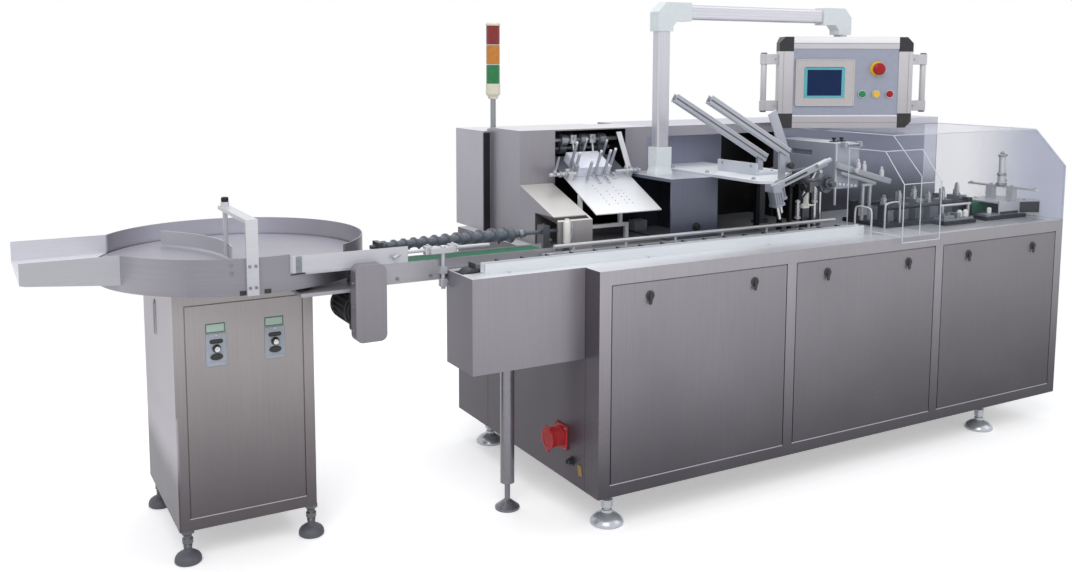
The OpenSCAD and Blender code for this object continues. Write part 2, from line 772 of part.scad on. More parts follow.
// Rotary carton picker: posts, cross shaft, arms and cups between magazine and chain
module carton_erector() placed() color("#7f8288") {
    x = erector_x;
    z = deck_z + erector_h;
    for (y = erector_post_ys) block([x - 18, y, deck_z], [x + 18, y + 18, z + 26]);
    bar_y([x, erector_y0, z], 24, erector_y1 - erector_y0);
    for (y = erector_arm_ys) {
        bar_y([x, y, z], 74, 22);
        block([x - 95, y, z - 8], [x, y + 16, z + 8]);
        block([x - 95, y - 6, z - 30], [x - 75, y + 22, z + 10]);
    }
    block([x + 60, erector_post_ys[0] + 30, deck_z], [x + 96, erector_post_ys[0] + 66, z + 45]);
}

// Box over the flap closing, with the lugs and pin that carry the lifting guard
module closing_housing() placed() color("#9a9aa4") difference() {
    union() {
        block([closing_x0, closing_y0, closing_z0], [closing_x1, housing_y, closing_z1]);
        block([closing_x0, housing_y - closing_back, deck_z], [closing_x1, housing_y, closing_z0 + cut]);
        for (x = [barrel_x0 - touch - lug_t, barrel_x1 + touch])
            block([x, hinge_y - 10, hinge_z - 10], [x + lug_t, closing_y0 + cut, hinge_z + 10]);
        bar_x([barrel_x0 - cut, hinge_y, hinge_z], hinge_pin_d, barrel_x1 - barrel_x0 + 2*cut);
    }
    block([closing_x0 - cut, closing_y0 + 130, closing_z1 - 60],
          [closing_x0 + 30, closing_y0 + 260, closing_z1 - 36]);
}

// Black base rail with two guide shafts on end blocks
module closing_rail() placed() color("#33343a") {
    x0 = end_guard_x + 25;
    x1 = cabinet_l - closing_end;
    shaft_end = press_x - 115;
    hood_foot = [press_x - 100, hood_y0 - 15];
    fore_foot = [press_x - 375, hood_y0 - 25];
    fore_l = 195;
    block([x0, closing_rail_y0, deck_z], [x1, closing_rail_y1, closing_rail_z]);
    block([hood_foot.x, hood_foot.y, deck_z], [x1, closing_rail_y0 + cut, closing_rail_z]);
    block([fore_foot.x, fore_foot.y, deck_z], [fore_foot.x + fore_l, closing_rail_y0 + cut, closing_rail_z]);
    for (y = [closing_rail_y0 + 40, closing_rail_y1 - 40]) {
        for (x = [x0 + 6, shaft_end])
            block([x, y - 14, closing_rail_z], [x + 30, y + 14, closing_rail_z + 76]);
        bar_x([x0 + 36, y, closing_rail_z + 58], 16, shaft_end - x0 - 36);
    }
}

// Row of flap folders and tuckers
module closing_blocks() placed() color("#a8abb2")
    for (i = [0:5]) {
        x = closing_row_x + i*closing_pitch;
        w = 0.55*closing_pitch;
        z = closing_rail_z + 54 + 14*(i % 3);
        block([x, closing_mid - 33, closing_rail_z], [x + w, closing_mid + 32, z]);
        bar_z([x + w/2, closing_mid, z - cut], 18, 44);
        bar_y([x + w/2, closing_mid + 12, closing_rail_z + 34], 22, 62);
    }

// Upright belt around its bed at the discharge, on the base rail
module outfeed_belt() placed() color("#1f6b52")
    translate([0, 0, closing_rail_z]) linear_extrude(hood_z - hood_t - 2 - closing_rail_z)
        loop_outline(press_x - 65, cabinet_l - closing_end - 4, hood_y1 - 90, hood_y1 - 14);

// Plan of the discharge hood: straight in front of the belt, then out to the end of the cabinet
module hood_plan(in) {
    x1 = cabinet_l - pane_t - 4;
    polygon([[press_x - in, hood_y0 + in], [press_x + hood_l, hood_y0 + in], [x1 + in, hood_end_y + in],
             [x1 + in, hood_y1 - in], [press_x - in, hood_y1 - in]]);
}

// Hood over the discharge belt, with its clamp bar and air cylinder
module press_unit() placed() color("#9fa2a8") {
    bar_z0 = hood_z + 55;
    difference() {
        translate([0, 0, closing_rail_z]) linear_extrude(hood_z - closing_rail_z) hood_plan(0);
        translate([0, 0, closing_rail_z - cut]) linear_extrude(hood_z - hood_t - closing_rail_z + cut)
            hood_plan(hood_t);
    }
    for (y = [hood_y0 + 32, hood_y0 + 136])
        block([press_bar_x - 15, y - 16, hood_z - cut], [press_bar_x + 15, y + 16, bar_z0 + cut]);
    block([press_bar_x - 13, hood_y0 - 91, bar_z0], [press_bar_x + 13, hood_y1 + 60, bar_z0 + 8]);
    bar_z([press_bar_x, hood_y0 + 85, bar_z0 + 8 - cut], 34, 50);
    bar_z([press_bar_x, hood_y0 + 85, bar_z0 + 58 - 2*cut], 28, 90);
}

// Clear cover over the closing and discharge end
module end_guard() placed() color("#dfe6ea", 0.4) {
    t = pane_t;
    along_x(end_guard_x, cabinet_l,
        [[0, deck_z], [t, deck_z], [t, end_slope_z - 2], [end_slope_y + 2, end_guard_z - t],
         [housing_y, end_guard_z - t], [housing_y, end_guard_z], [end_slope_y, end_guard_z],
         [0, end_slope_z]]);
    along_x(cabinet_l - t, cabinet_l,
        [[0, deck_z], [housing_y, deck_z], [housing_y, end_guard_z], [end_slope_y, end_guard_z],
         [0, end_slope_z]]);
}

// Clear guard that lifts about its rear edge: front, slope and top panes and the left end
module lifting_guard() placed() color("#dfe6ea", 0.4) {
    t = pane_t;
    x1 = end_guard_x + guard_lap;
    along_x(guard_x, x1,
        [[-guard_out, guard_z0], [-guard_out + t, guard_z0], [-guard_out + t, guard_slope_z - 2],
         [guard_top_y + 2, guard_top_z - t], [guard_top_y + 8, guard_top_z - t],
         [guard_top_y + 8, guard_top_z], [guard_top_y, guard_top_z], [-guard_out, guard_slope_z]]);
    block([guard_x, guard_top_y, guard_top_z - t], [end_guard_x - 8, hinge_y - 20, guard_top_z]);
    block([barrel_x0 + 6, hinge_y - 21, guard_top_z - t], [barrel_x1 - 6, hinge_y, guard_top_z]);
    along_x(guard_x, guard_x + t,
        [[-guard_out, guard_z0], [-6, guard_z0], [-6, deck_z + 6], [hinge_y - 40, deck_z + 6],
         [hinge_y - 40, guard_top_z], [guard_top_y, guard_top_z], [-guard_out, guard_slope_z]]);
    difference() {
        bar_x([barrel_x0, hinge_y, hinge_z], hinge_barrel_d, barrel_x1 - barrel_x0);
        bar_x([barrel_x0 - cut, hinge_y, hinge_z], hinge_pin_d + 2*run_fit, barrel_x1 - barrel_x0 + 2*cut);
    }
}

module stand_cabinet() placed() color("#958c87") {
    panel_in = 33;
    panel_low = stand_z + 36;
    panel_high = pan_z - 52;
    seam = 4;
    difference() {
        block([stand_x0, stand_y0, stand_z], [stand_x0 + stand_w, stand_y0 + stand_d, pan_z]);
        difference() {
            block([stand_x0 + panel_in, stand_y0 - cut, panel_low],
                  [stand_x0 + stand_w - panel_in, stand_y0 + 6, panel_high]);
            block([stand_x0 + panel_in + seam, stand_y0 - 2*cut, panel_low + seam],
                  [stand_x0 + stand_w - panel_in - seam, stand_y0 + 7, panel_high - seam]);
        }
        translate([tx, ty, pan_z - spindle_len]) cylinder(d = spindle_d + 2*run_fit, h = spindle_len + cut);
    }
}

module stand_feet() placed() color("#4a4a4e")
    for (x = stand_foot_xs, y = stand_foot_ys) translate([x, y, 0]) foot(stand_foot_d, stand_z);

module speed_controls() placed() color("#aab0b8")
    for (x = [stand_x0 + 97, stand_x0 + 281]) {
        block([x, stand_y0 - 3, pan_z - 252], [x + 64, stand_y0, pan_z - 148]);
        bar_y([x + 32, stand_y0 - 17, pan_z - 202], 24, 15);
    }

// Pan with its rim, open where the tray comes in and where the conveyor leaves
module turntable_rim() placed() color("#9d989b") difference() {
    translate([tx, ty, pan_z]) rotate_extrude($fn = 96)
        polygon([[0, 0], [rim_r, 0], [rim_r, rim_h], [rim_r - rim_t, rim_h],
                 [rim_r - rim_t, pan_t], [0, pan_t]]);
    translate([tx, ty, pan_z - cut]) cylinder(d = spindle_d + 2*run_fit, h = pan_t + 2*cut);
    block([tx - rim_r - cut, stand_mid - tray_w/2 + tray_t, tray_z - 2],
          [tx - rim_r/2, stand_mid + tray_w/2 - tray_t, rim_z + cut]);
    block([tx + 74, conveyor_y - 30, disc_z - 6], [tx + rim_r, conveyor_back + 6, rim_z + cut]);
}

// Turning disc on its spindle
module turntable_disc() placed() color("#a5a5aa") translate([tx, ty, 0]) {
    translate([0, 0, disc_z - disc_t]) cylinder(r = disc_r, h = disc_t, $fn = 96);
    translate([0, 0, pan_z + pan_t + touch]) cylinder(d = 120, h = disc_z - disc_t - pan_z - pan_t);
    translate([0, 0, pan_z - spindle_len + touch]) cylinder(d = spindle_d, h = spindle_len + pan_t + 10);
}

// Tray of folded sheet: floor and two walls that taper to the loading end
module loading_tray() placed() color("#a29ea1") difference() {
    y0 = stand_mid - tray_w/2;
    y1 = stand_mid + tray_w/2;
    union() {
        block([tray_x0, y0, tray_z], [tx - rim_r/2, y1, tray_z + tray_t]);
        for (y = [y0, y1 - tray_t])
            along_y(y, y + tray_t,
                [[tray_x0, tray_z], [tray_x0 + 14, tray_z - 4], [tx - rim_r/2, pan_z + 6],
                 [tx - rim_r/2, rim_z], [tray_x0, rim_z]]);
    }
    translate([tx, ty, 0]) cylinder(r = rim_r + touch, h = rim_z + cut, $fn = 96);
}

// Flat post on the rim, arm over the disc
module guide_bridge() placed() color("#b3b1b5") {
    w = 36;
    t = 12;
    y0 = ty - sqrt(pow(rim_r, 2) - pow(tx - bow_x - w/2, 2)) - t - touch;
    block([bow_x - w/2, y0, pan_z], [bow_x + w/2, y0 + t, bridge_top]);
    difference() {
        block([bow_x - w/2, y0, bridge_top - t], [bow_x + w/2, bow_y + 22, bridge_top]);
        translate([bow_x, bow_y, bridge_top - t - cut]) cylinder(d = bow_rod_d + 2*run_fit, h = t + 2*cut);
    }
}

// Hanging rod and the curved strip that steers the goods to the rim
module guide_bow() placed() color("#a7a5a9") {
    low = disc_z + 8;
    bow_r = 520;
    bow_t = 4;
    translate([bow_x, bow_y, low + 6]) cylinder(d = bow_rod_d, h = bridge_top + 4 - low);
    translate([bow_x, bow_y, bridge_top]) cylinder(d = 28, h = 14, $fn = 6);
    translate([bow_x - bow_r*cos(8), bow_y + bow_r*sin(8) - 64, low]) rotate([0, 0, -8])
        rotate_extrude(angle = 52, $fn = 96) translate([bow_r, 0]) square([bow_t, rim_z - 6 - low]);
}

// Channel of two side plates and a web, a slider bed inside the belt and a plate that meets the disc
module conveyor_bed() placed() color("#b4b2b6") {
    z0 = bed_top - bed_depth;
    for (y = [conveyor_y, conveyor_back - side_t])
        block([conveyor_x0, y, z0], [conveyor_x1, y + side_t, bed_top]);
    block([conveyor_x0, conveyor_y, z0], [conveyor_x1, conveyor_back, z0 + bed_web_t]);
    block([belt_x0 + roller_d + 16, conveyor_y, belt_low + belt_t + touch],
          [belt_x1 - roller_d - 16, conveyor_back, belt_z - belt_t - touch]);
    difference() {
        block([tx + 120, conveyor_y, disc_z - 4], [conveyor_x0 + 3, conveyor_back, disc_z - 1]);
        translate([tx, ty, 0]) cylinder(r = disc_r + disc_gap, h = rim_z, $fn = 96);
    }
}

module conveyor_rollers() placed() color("#8b8c90")
    for (x = [belt_x0 + belt_t + roller_d/2, belt_x1 - belt_t - roller_d/2])
        bar_y([x, conveyor_y + side_t, belt_z - belt_t - roller_d/2 - touch], roller_d,
              conveyor_back - conveyor_y - 2*side_t);

module conveyor_belt() placed() color("#1d6a4c")
    loop(belt_x0, belt_x1, belt_y0, belt_y0 + belt_w, belt_low, belt_z, belt_t);

// Guide wall from the rim, and the bent guide rod on its clamp post
module conveyor_guides() placed() color("#b7b5b9") {
    wall_x0 = tx + 78;
    wall_x1 = tx + 455;
    block([wall_x0, conveyor_y, bed_top + touch], [wall_x1, conveyor_y + 3, rim_z - 6]);
    post_x = -430;
    post_y = conveyor_y - 12;
    bar_z([post_x, post_y, bed_top - 56], 14, 92);
    block([post_x - 12, post_y - 8, bed_top - 46], [post_x + 12, conveyor_y, bed_top - 22]);
    block([post_x - 46, post_y - 10, bed_top + 22], [post_x + 40, post_y + 26, bed_top + 40]);
    bar_x([post_x - 120, post_y + 24, bed_top + 31], 12, 300);
}

module conveyor_leg() placed() color("#9b9a9d") translate([-150, conveyor_y + 70, 0]) {
    top = bed_top - bed_depth;
    rotate_extrude() polygon([[0, 0], [44, 0], [44, 8], [16, 30], [10, 34], [10, 96], [25, 96],
                              [25, top], [0, top]]);
}

// Rounded cover of the belt drive
module drive_cover() placed() color("#968f8c") {
    x0 = -742;
    x1 = -640;
    r = 22;
    y1 = conveyor_y - touch;
    y0 = y1 - 48;
    z0 = bed_top - 233;
    z1 = bed_top + 12;
    translate([0, y1, 0]) rotate([90, 0, 0]) linear_extrude(y1 - y0) {
        for (x = [x0 + r, x1 - r], z = [z0 + r, z1 - r]) translate([x, z]) circle(r);
        translate([x0, z0 + r]) square([x1 - x0, z1 - z0 - 2*r]);
        translate([x0 + r, z0]) square([x1 - x0 - 2*r, z1 - z0]);
    }
}

// Shelf from the stand with the finned motor hanging under it
module drive_motor() placed() color("#2e2f33") {
    stand_x1 = stand_x0 + stand_w;
    shelf_z = bed_top - bed_depth - 12;
    y0 = conveyor_y + 2;
    block([stand_x1 - 90, y0, shelf_z], [-640, stand_y0, shelf_z + 12 - touch]);
    block([-735, y0, shelf_z - 130], [-655, y0 + 40, shelf_z + 2]);
    bar_y([-695, y0 + 30, shelf_z - 70], 96, 150);
    for (i = [0:7]) bar_y([-695, y0 + 46 + i*15, shelf_z - 70], 110, 6);
}

// Screw with pockets that widen towards the cartoner, on a drive shaft
module timing_screw() placed() color("#5b606b") translate([screw_x0, screw_y, screw_z]) rotate([0, 90, 0])
    rotate_extrude() polygon(concat(
        [[0, -40], [screw_stub_d/2, -40], [screw_stub_d/2, 0]],
        [for (i = [0:screw_pockets*6])
            let (u = i/(screw_pockets*6), l = (screw_x1 - screw_x0)*u,
                 r = screw_d0/2 + (screw_d - screw_d0)/2*u,
                 wave = (1 + cos(360*(i % 6)/6))/2)
            [r*(0.74 + 0.26*wave), l]],
        [[screw_stub_d/2 + 5, screw_x1 - screw_x0 + 1], [screw_stub_d/2 + 5, screw_x1 - screw_x0 + 46],
         [screw_stub_d/2, screw_x1 - screw_x0 + 46], [screw_stub_d/2, screw_x1 - screw_x0 + 250],
         [0, screw_x1 - screw_x0 + 250]]));

// Plates that carry the screw's two ends
module screw_bearings() placed() color("#55585e") {
    z0 = bed_top - bed_depth;
    difference() {
        block([screw_x0 - 24, conveyor_back, z0 + 8],
              [screw_x0 - 24 + screw_bearing_t, screw_y + 20, screw_z + 18]);
        bar_x([screw_x0 - 60, screw_y, screw_z], screw_stub_d + 2*run_fit, 80);
    }
    difference() {
        block([20, screw_y - 22, deck_z], [20 + screw_bearing_t + 10, screw_y + 22, screw_z + 24]);
        bar_x([0, screw_y, screw_z], screw_stub_d + 2*run_fit, 80);
    }
}

base_cabinet();
access_doors();
door_latches();
machine_feet();
infeed_box();
power_inlet();
electrical_cabinet();
leaflet_housing();
chute_cover();
rear_housing();
leaflet_table();
leaflet_guides();
leaflet_stack();
leaflet_rollers();
beacon_pole();
beacon_base();
beacon_green();
beacon_amber();
beacon_red();
arm_pedestal();
arm_fittings();
arm_tubes();
panel_case();
panel_corners();
panel_face();
screen_bezel();
screen_glass();
stop_button();
push_buttons();
panel_handles();
front_rail();
rear_rail();
product_chain();
magazine_bed();
carton_rails();
carton_erector();
closing_housing();
closing_rail();
closing_blocks();
outfeed_belt();
press_unit();
end_guard();
lifting_guard();
stand_cabinet();
stand_feet();
speed_controls();
turntable_rim();
turntable_disc();
loading_tray();
guide_bridge();
guide_bow();
conveyor_bed();
conveyor_rollers();
conveyor_belt();
conveyor_guides();
conveyor_leg();
drive_cover();
drive_motor();
timing_screw();
screw_bearings();
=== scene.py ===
"""Looks of the automatic cartoner with its turntable feeder.

Lengths in the piece functions are millimetres in the machine frame: X = 0 is the left face of the base
cabinet, Y = 0 its operator face and Z = 0 the floor. piece() brings them into the row frame, in metres.
"""
import math

import bmesh
import bpy
import numpy as np
from mathutils import Matrix


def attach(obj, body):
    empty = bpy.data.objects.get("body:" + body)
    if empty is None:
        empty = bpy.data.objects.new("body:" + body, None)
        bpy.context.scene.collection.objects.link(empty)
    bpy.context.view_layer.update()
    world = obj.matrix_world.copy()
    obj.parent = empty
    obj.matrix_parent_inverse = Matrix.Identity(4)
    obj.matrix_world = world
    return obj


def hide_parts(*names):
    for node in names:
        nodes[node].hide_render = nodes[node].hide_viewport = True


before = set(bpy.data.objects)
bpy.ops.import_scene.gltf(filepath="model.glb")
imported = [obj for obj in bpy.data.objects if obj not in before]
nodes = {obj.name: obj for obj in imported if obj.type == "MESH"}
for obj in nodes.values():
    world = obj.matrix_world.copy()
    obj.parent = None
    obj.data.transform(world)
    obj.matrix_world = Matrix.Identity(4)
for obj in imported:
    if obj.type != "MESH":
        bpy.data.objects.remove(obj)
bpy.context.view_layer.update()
scene = bpy.context.scene

# Places that several pieces share, in machine millimetres

MACHINE_ORIGIN = np.array([370.0, 579.5, 0.0])
DECK = 900.0
CABINET_L, CABINET_W = 2400.0, 1075.0
TABLE_X, TABLE_Y = -1003.0, 722.0
RIM_R, PAN_Z = 432.0, 881.0
SCREW_X0, SCREW_X1 = -585.0, -88.0
SCREW_Y, SCREW_Z = 425.0, 969.0
ARM_X, ARM_Y = 628.0, 540.0
PANEL_AXIS = np.array([1583.0, 540.0, 1492.0])
PANEL_TURN = math.radians(-25.0)
LEFT, RIGHT = (-1, 0, 0), (1, 0, 0)
FRONT, BACK = (0, -1, 0), (0, 1, 0)
DOWN, UP = (0, 0, -1), (0, 0, 1)

# Colours


def srgb(code):
    """Linear colour of a hex code as a painter reads it on screen."""
    v = np.array([int(code[i:i + 2], 16) for i in (0, 2, 4)]) / 255.0
    lin = np.where(v <= 0.04045, v / 12.92, ((v + 0.055) / 1.055) ** 2.4)
    return (*map(float, lin), 1.0)


# Shader groups


def shader_group(name, inputs, outputs):
    """Empty node group with named sockets; inputs are (name, kind, default), outputs (name, kind)."""
    group = bpy.data.node_groups.new(name, "ShaderNodeTree")
    for label, kind, default in inputs:
        socket = group.interface.new_socket(name=label, in_out="INPUT", socket_type=kind)
        socket.default_value = default
    for label, kind in outputs:
        group.interface.new_socket(name=label, in_out="OUTPUT", socket_type=kind)
    gin, gout = group.nodes.new("NodeGroupInput"), group.nodes.new("NodeGroupOutput")
    return group, gin, gout


def node_of(tree, kind, links=(), **settings):
    """New node with settings and with (socket, source) links or plain values."""
    n = tree.nodes.new(kind)
    for key, value in settings.items():
        setattr(n, key, value)
    for socket, source in links:
        if isinstance(source, bpy.types.NodeSocket):
            tree.links.new(source, n.inputs[socket])
        else:
            n.inputs[socket].default_value = source
    return n


FLOAT, VECTOR = "NodeSocketFloat", "NodeSocketVector"


def build_brushed_lines():
    """Fine parallel lines: noise on object coordinates stretched along one direction, plus a slow cloud."""
    g, gin, gout = shader_group("brushed_lines",
                                [("Stretch", VECTOR, (300.0, 300.0, 6.0)), ("Cloud Scale", FLOAT, 1.6)],
                                [("Lines", FLOAT), ("Cloud", FLOAT)])
    co = node_of(g, "ShaderNodeTexCoord").outputs["Object"]
    scaled = node_of(g, "ShaderNodeVectorMath", [(0, co), (1, gin.outputs["Stretch"])], operation="MULTIPLY")
    lines = node_of(g, "ShaderNodeTexNoise", [("Vector", scaled.outputs[0]), ("Scale", 1.0), ("Detail", 3.0)])
    cloud = node_of(g, "ShaderNodeTexNoise",
                    [("Vector", co), ("Scale", gin.outputs["Cloud Scale"]), ("Detail", 2.0)])
    g.links.new(lines.outputs[0], gout.inputs["Lines"])
    g.links.new(cloud.outputs[0], gout.inputs["Cloud"])
    return g


def build_floor_shade():
    """Mask rising from 0 at height High to 1 at height Low, broken up by noise; it paints shade towards the
    floor.
    """
    g, gin, gout = shader_group("floor_shade", [("Low", FLOAT, 0.13), ("High", FLOAT, 0.9)],
                                [("Mask", FLOAT)])
    co = node_of(g, "ShaderNodeTexCoord").outputs["Object"]
    z = node_of(g, "ShaderNodeSeparateXYZ", [(0, co)]).outputs["Z"]
    noise = node_of(g, "ShaderNodeTexNoise", [("Vector", co), ("Scale", 2.2), ("Detail", 2.0)])
    wob = node_of(g, "ShaderNodeMath", [(0, noise.outputs[0]), (1, 0.12), (2, z)], operation="MULTIPLY_ADD")
    ramp = node_of(g, "ShaderNodeMapRange", [("Value", wob.outputs[0]), ("From Min", gin.outputs["High"]),
                                             ("From Max", gin.outputs["Low"])],
                   interpolation_type="SMOOTHSTEP")
    g.links.new(ramp.outputs[0], gout.inputs["Mask"])
    return g


def build_fine_grain():
    """Even fine grain for paint and moulded plastic, with sparse larger spots."""
    g, gin, gout = shader_group("fine_grain", [("Scale", FLOAT, 900.0), ("Spots", FLOAT, 60.0)],
                                [("Grain", FLOAT), ("Spots", FLOAT)])
    co = node_of(g, "ShaderNodeTexCoord").outputs["Object"]
    grain = node_of(g, "ShaderNodeTexNoise",
                    [("Vector", co), ("Scale", gin.outputs["Scale"]), ("Detail", 2.0)])
    spots = node_of(g, "ShaderNodeTexNoise",
                    [("Vector", co), ("Scale", gin.outputs["Spots"]), ("Detail", 4.0)])
    g.links.new(grain.outputs[0], gout.inputs["Grain"])
    g.links.new(spots.outputs[0], gout.inputs["Spots"])
    return g


def build_handling_marks():
    """Sparse thin scratches: a narrow band of a stretched noise, masked by a slow noise."""
    g, gin, gout = shader_group("handling_marks",
                                [("Stretch", VECTOR, (40.0, 40.0, 400.0)), ("Width", FLOAT, 0.02)],
                                [("Marks", FLOAT)])
    co = node_of(g, "ShaderNodeTexCoord").outputs["Object"]
    scaled = node_of(g, "ShaderNodeVectorMath", [(0, co), (1, gin.outputs["Stretch"])], operation="MULTIPLY")
    lines = node_of(g, "ShaderNodeTexNoise", [("Vector", scaled.outputs[0]), ("Scale", 1.0), ("Detail", 1.0)])
    off = node_of(g, "ShaderNodeMath", [(0, lines.outputs[0]), (1, 0.5)], operation="SUBTRACT")
    near = node_of(g, "ShaderNodeMath", [(0, off.outputs[0])], operation="ABSOLUTE")
    band = node_of(g, "ShaderNodeMath", [(0, near.outputs[0]), (1, gin.outputs["Width"])],
                   operation="LESS_THAN")
    where = node_of(g, "ShaderNodeTexNoise", [("Vector", co), ("Scale", 3.0), ("Detail", 2.0)])
    some = node_of(g, "ShaderNodeMapRange",
                   [("Value", where.outputs[0]), ("From Min", 0.52), ("From Max", 0.72)])
    mask = node_of(g, "ShaderNodeMath", [(0, band.outputs[0]), (1, some.outputs[0])], operation="MULTIPLY")
    g.links.new(mask.outputs[0], gout.inputs["Marks"])
    return g


def build_inside():
    """Mask that is 1 inside a box between two corners and falls to 0 over its outer 4 mm."""
    g, gin, gout = shader_group("inside",
                                [("Low", VECTOR, (0.0, 0.0, 0.0)), ("High", VECTOR, (1.0, 1.0, 1.0))],
                                [("Mask", FLOAT)])
    co = node_of(g, "ShaderNodeTexCoord").outputs["Object"]
    over = node_of(g, "ShaderNodeVectorMath", [(0, co), (1, gin.outputs["Low"])], operation="SUBTRACT")
    under = node_of(g, "ShaderNodeVectorMath", [(0, gin.outputs["High"]), (1, co)], operation="SUBTRACT")
    least = node_of(g, "ShaderNodeVectorMath", [(0, over.outputs[0]), (1, under.outputs[0])],
                    operation="MINIMUM")
    xyz = node_of(g, "ShaderNodeSeparateXYZ", [(0, least.outputs[0])]).outputs
    xy = node_of(g, "ShaderNodeMath", [(0, xyz["X"]), (1, xyz["Y"])], operation="MINIMUM")
    depth = node_of(g, "ShaderNodeMath", [(0, xy.outputs[0]), (1, xyz["Z"])], operation="MINIMUM")
    mask = node_of(g, "ShaderNodeMapRange",
                   [("Value", depth.outputs[0]), ("From Min", 0.0), ("From Max", 0.004)])
    g.links.new(mask.outputs[0], gout.inputs["Mask"])
    return g


def build_facing():
    """Mask that is 1 where the surface looks along Direction and 0 from about 60 degrees away."""
    g, gin, gout = shader_group("facing", [("Direction", VECTOR, (0.0, 0.0, 1.0))], [("Mask", FLOAT)])
    normal = node_of(g, "ShaderNodeTexCoord").outputs["Normal"]
    along = node_of(g, "ShaderNodeVectorMath", [(0, normal), (1, gin.outputs["Direction"])],
                    operation="DOT_PRODUCT")
    mask = node_of(g, "ShaderNodeMapRange",
                   [("Value", along.outputs["Value"]), ("From Min", 0.5), ("From Max", 0.9)])
    g.links.new(mask.outputs[0], gout.inputs["Mask"])
    return g


BRUSHED = build_brushed_lines()
SHADE = build_floor_shade()
GRAIN = build_fine_grain()
MARKS = build_handling_marks()
INSIDE = build_inside()
FACING = build_facing()


def place_group(tree, group, **values):
    """Group node in a material with its own values; underscores in names stand for spaces."""
    n = node_of(tree, "ShaderNodeGroup", node_tree=group)
    for label, value in values.items():
        n.inputs[label.replace("_", " ")].default_value = value
    return n


def mixed(tree, factor, a, b, blend="MIX"):
    """Colour mix of a and b by factor; each may be a socket or a value."""
    n = tree.nodes.new("ShaderNodeMix")
    n.data_type, n.blend_type = "RGBA", blend
    for index, source in ((0, factor), (6, a), (7, b)):
        if isinstance(source, bpy.types.NodeSocket):
            tree.links.new(source, n.inputs[index])
        else:
            n.inputs[index].default_value = source
    return n.outputs[2]


def spread(tree, value, low, high):
    """Maps a 0 to 1 value onto low to high."""
    return node_of(tree, "ShaderNodeMapRange",
                   [("Value", value), ("To Min", low), ("To Max", high)]).outputs[0]


# Finishes


def new_material(name):
    """Material with a Principled shader; returns it with its tree and shader."""
    m = bpy.data.materials.new(name)
    m.use_nodes = True
    tree = m.node_tree
    return m, tree, tree.nodes["Principled BSDF"]


def product(tree, a, b):
    """Product of two values; each may be a socket or a number."""
    return node_of(tree, "ShaderNodeMath", [(0, a), (1, b)], operation="MULTIPLY").outputs[0]


def inside_box(tree, lo, hi):
    """Mask of the box between two corners in machine millimetres."""
    corners = [tuple(map(float, (np.array(c, float) - MACHINE_ORIGIN) / 1000.0)) for c in (lo, hi)]
    return place_group(tree, INSIDE, Low=corners[0], High=corners[1]).outputs["Mask"]


def boxed(tree, tone, inside, inner):
    """Tone with the boxes of inside painted over it in turn, in the forms that sheet_metal gives."""
    for lo, hi, *own in inside:
        mask = inside_box(tree, lo, hi)
        if len(own) > 1:
            mask = product(tree, mask, place_group(tree, FACING, Direction=own[1]).outputs["Mask"])
        paint = own[0] if own else inner
        if isinstance(paint, tuple):
            top, bottom, z_low, z_high = paint
            fall = place_group(tree, SHADE, Low=z_low, High=z_high).outputs["Mask"]
            colour = mixed(tree, fall, srgb(top), srgb(bottom))
        else:
            colour = srgb(paint)
        tone = mixed(tree, mask, tone, colour)
    return tone


def end_to_end(tree, light_falloff):
    """Factor falling evenly from 1 at the cabinet's left end by the share to its right end; painted light
    falloff.
    """
    co = node_of(tree, "ShaderNodeTexCoord").outputs["Object"]
    x = node_of(tree, "ShaderNodeSeparateXYZ", [(0, co)]).outputs["X"]
    left, right = ((v - MACHINE_ORIGIN[0]) / 1000.0 for v in (0.0, CABINET_L))
    return node_of(tree, "ShaderNodeMapRange", [("Value", x), ("From Min", left), ("From Max", right),
                                                ("To Min", 1.0), ("To Max", 1.0 - light_falloff)]).outputs[0]


MARK_SHARE, MARK_TONE = 0.10, (0.62, 0.61, 0.60, 1.0)
BRUSH_BUMP, BRUSH_DEPTH, GRAIN_DEPTH = 0.05, 0.0006, 0.0004


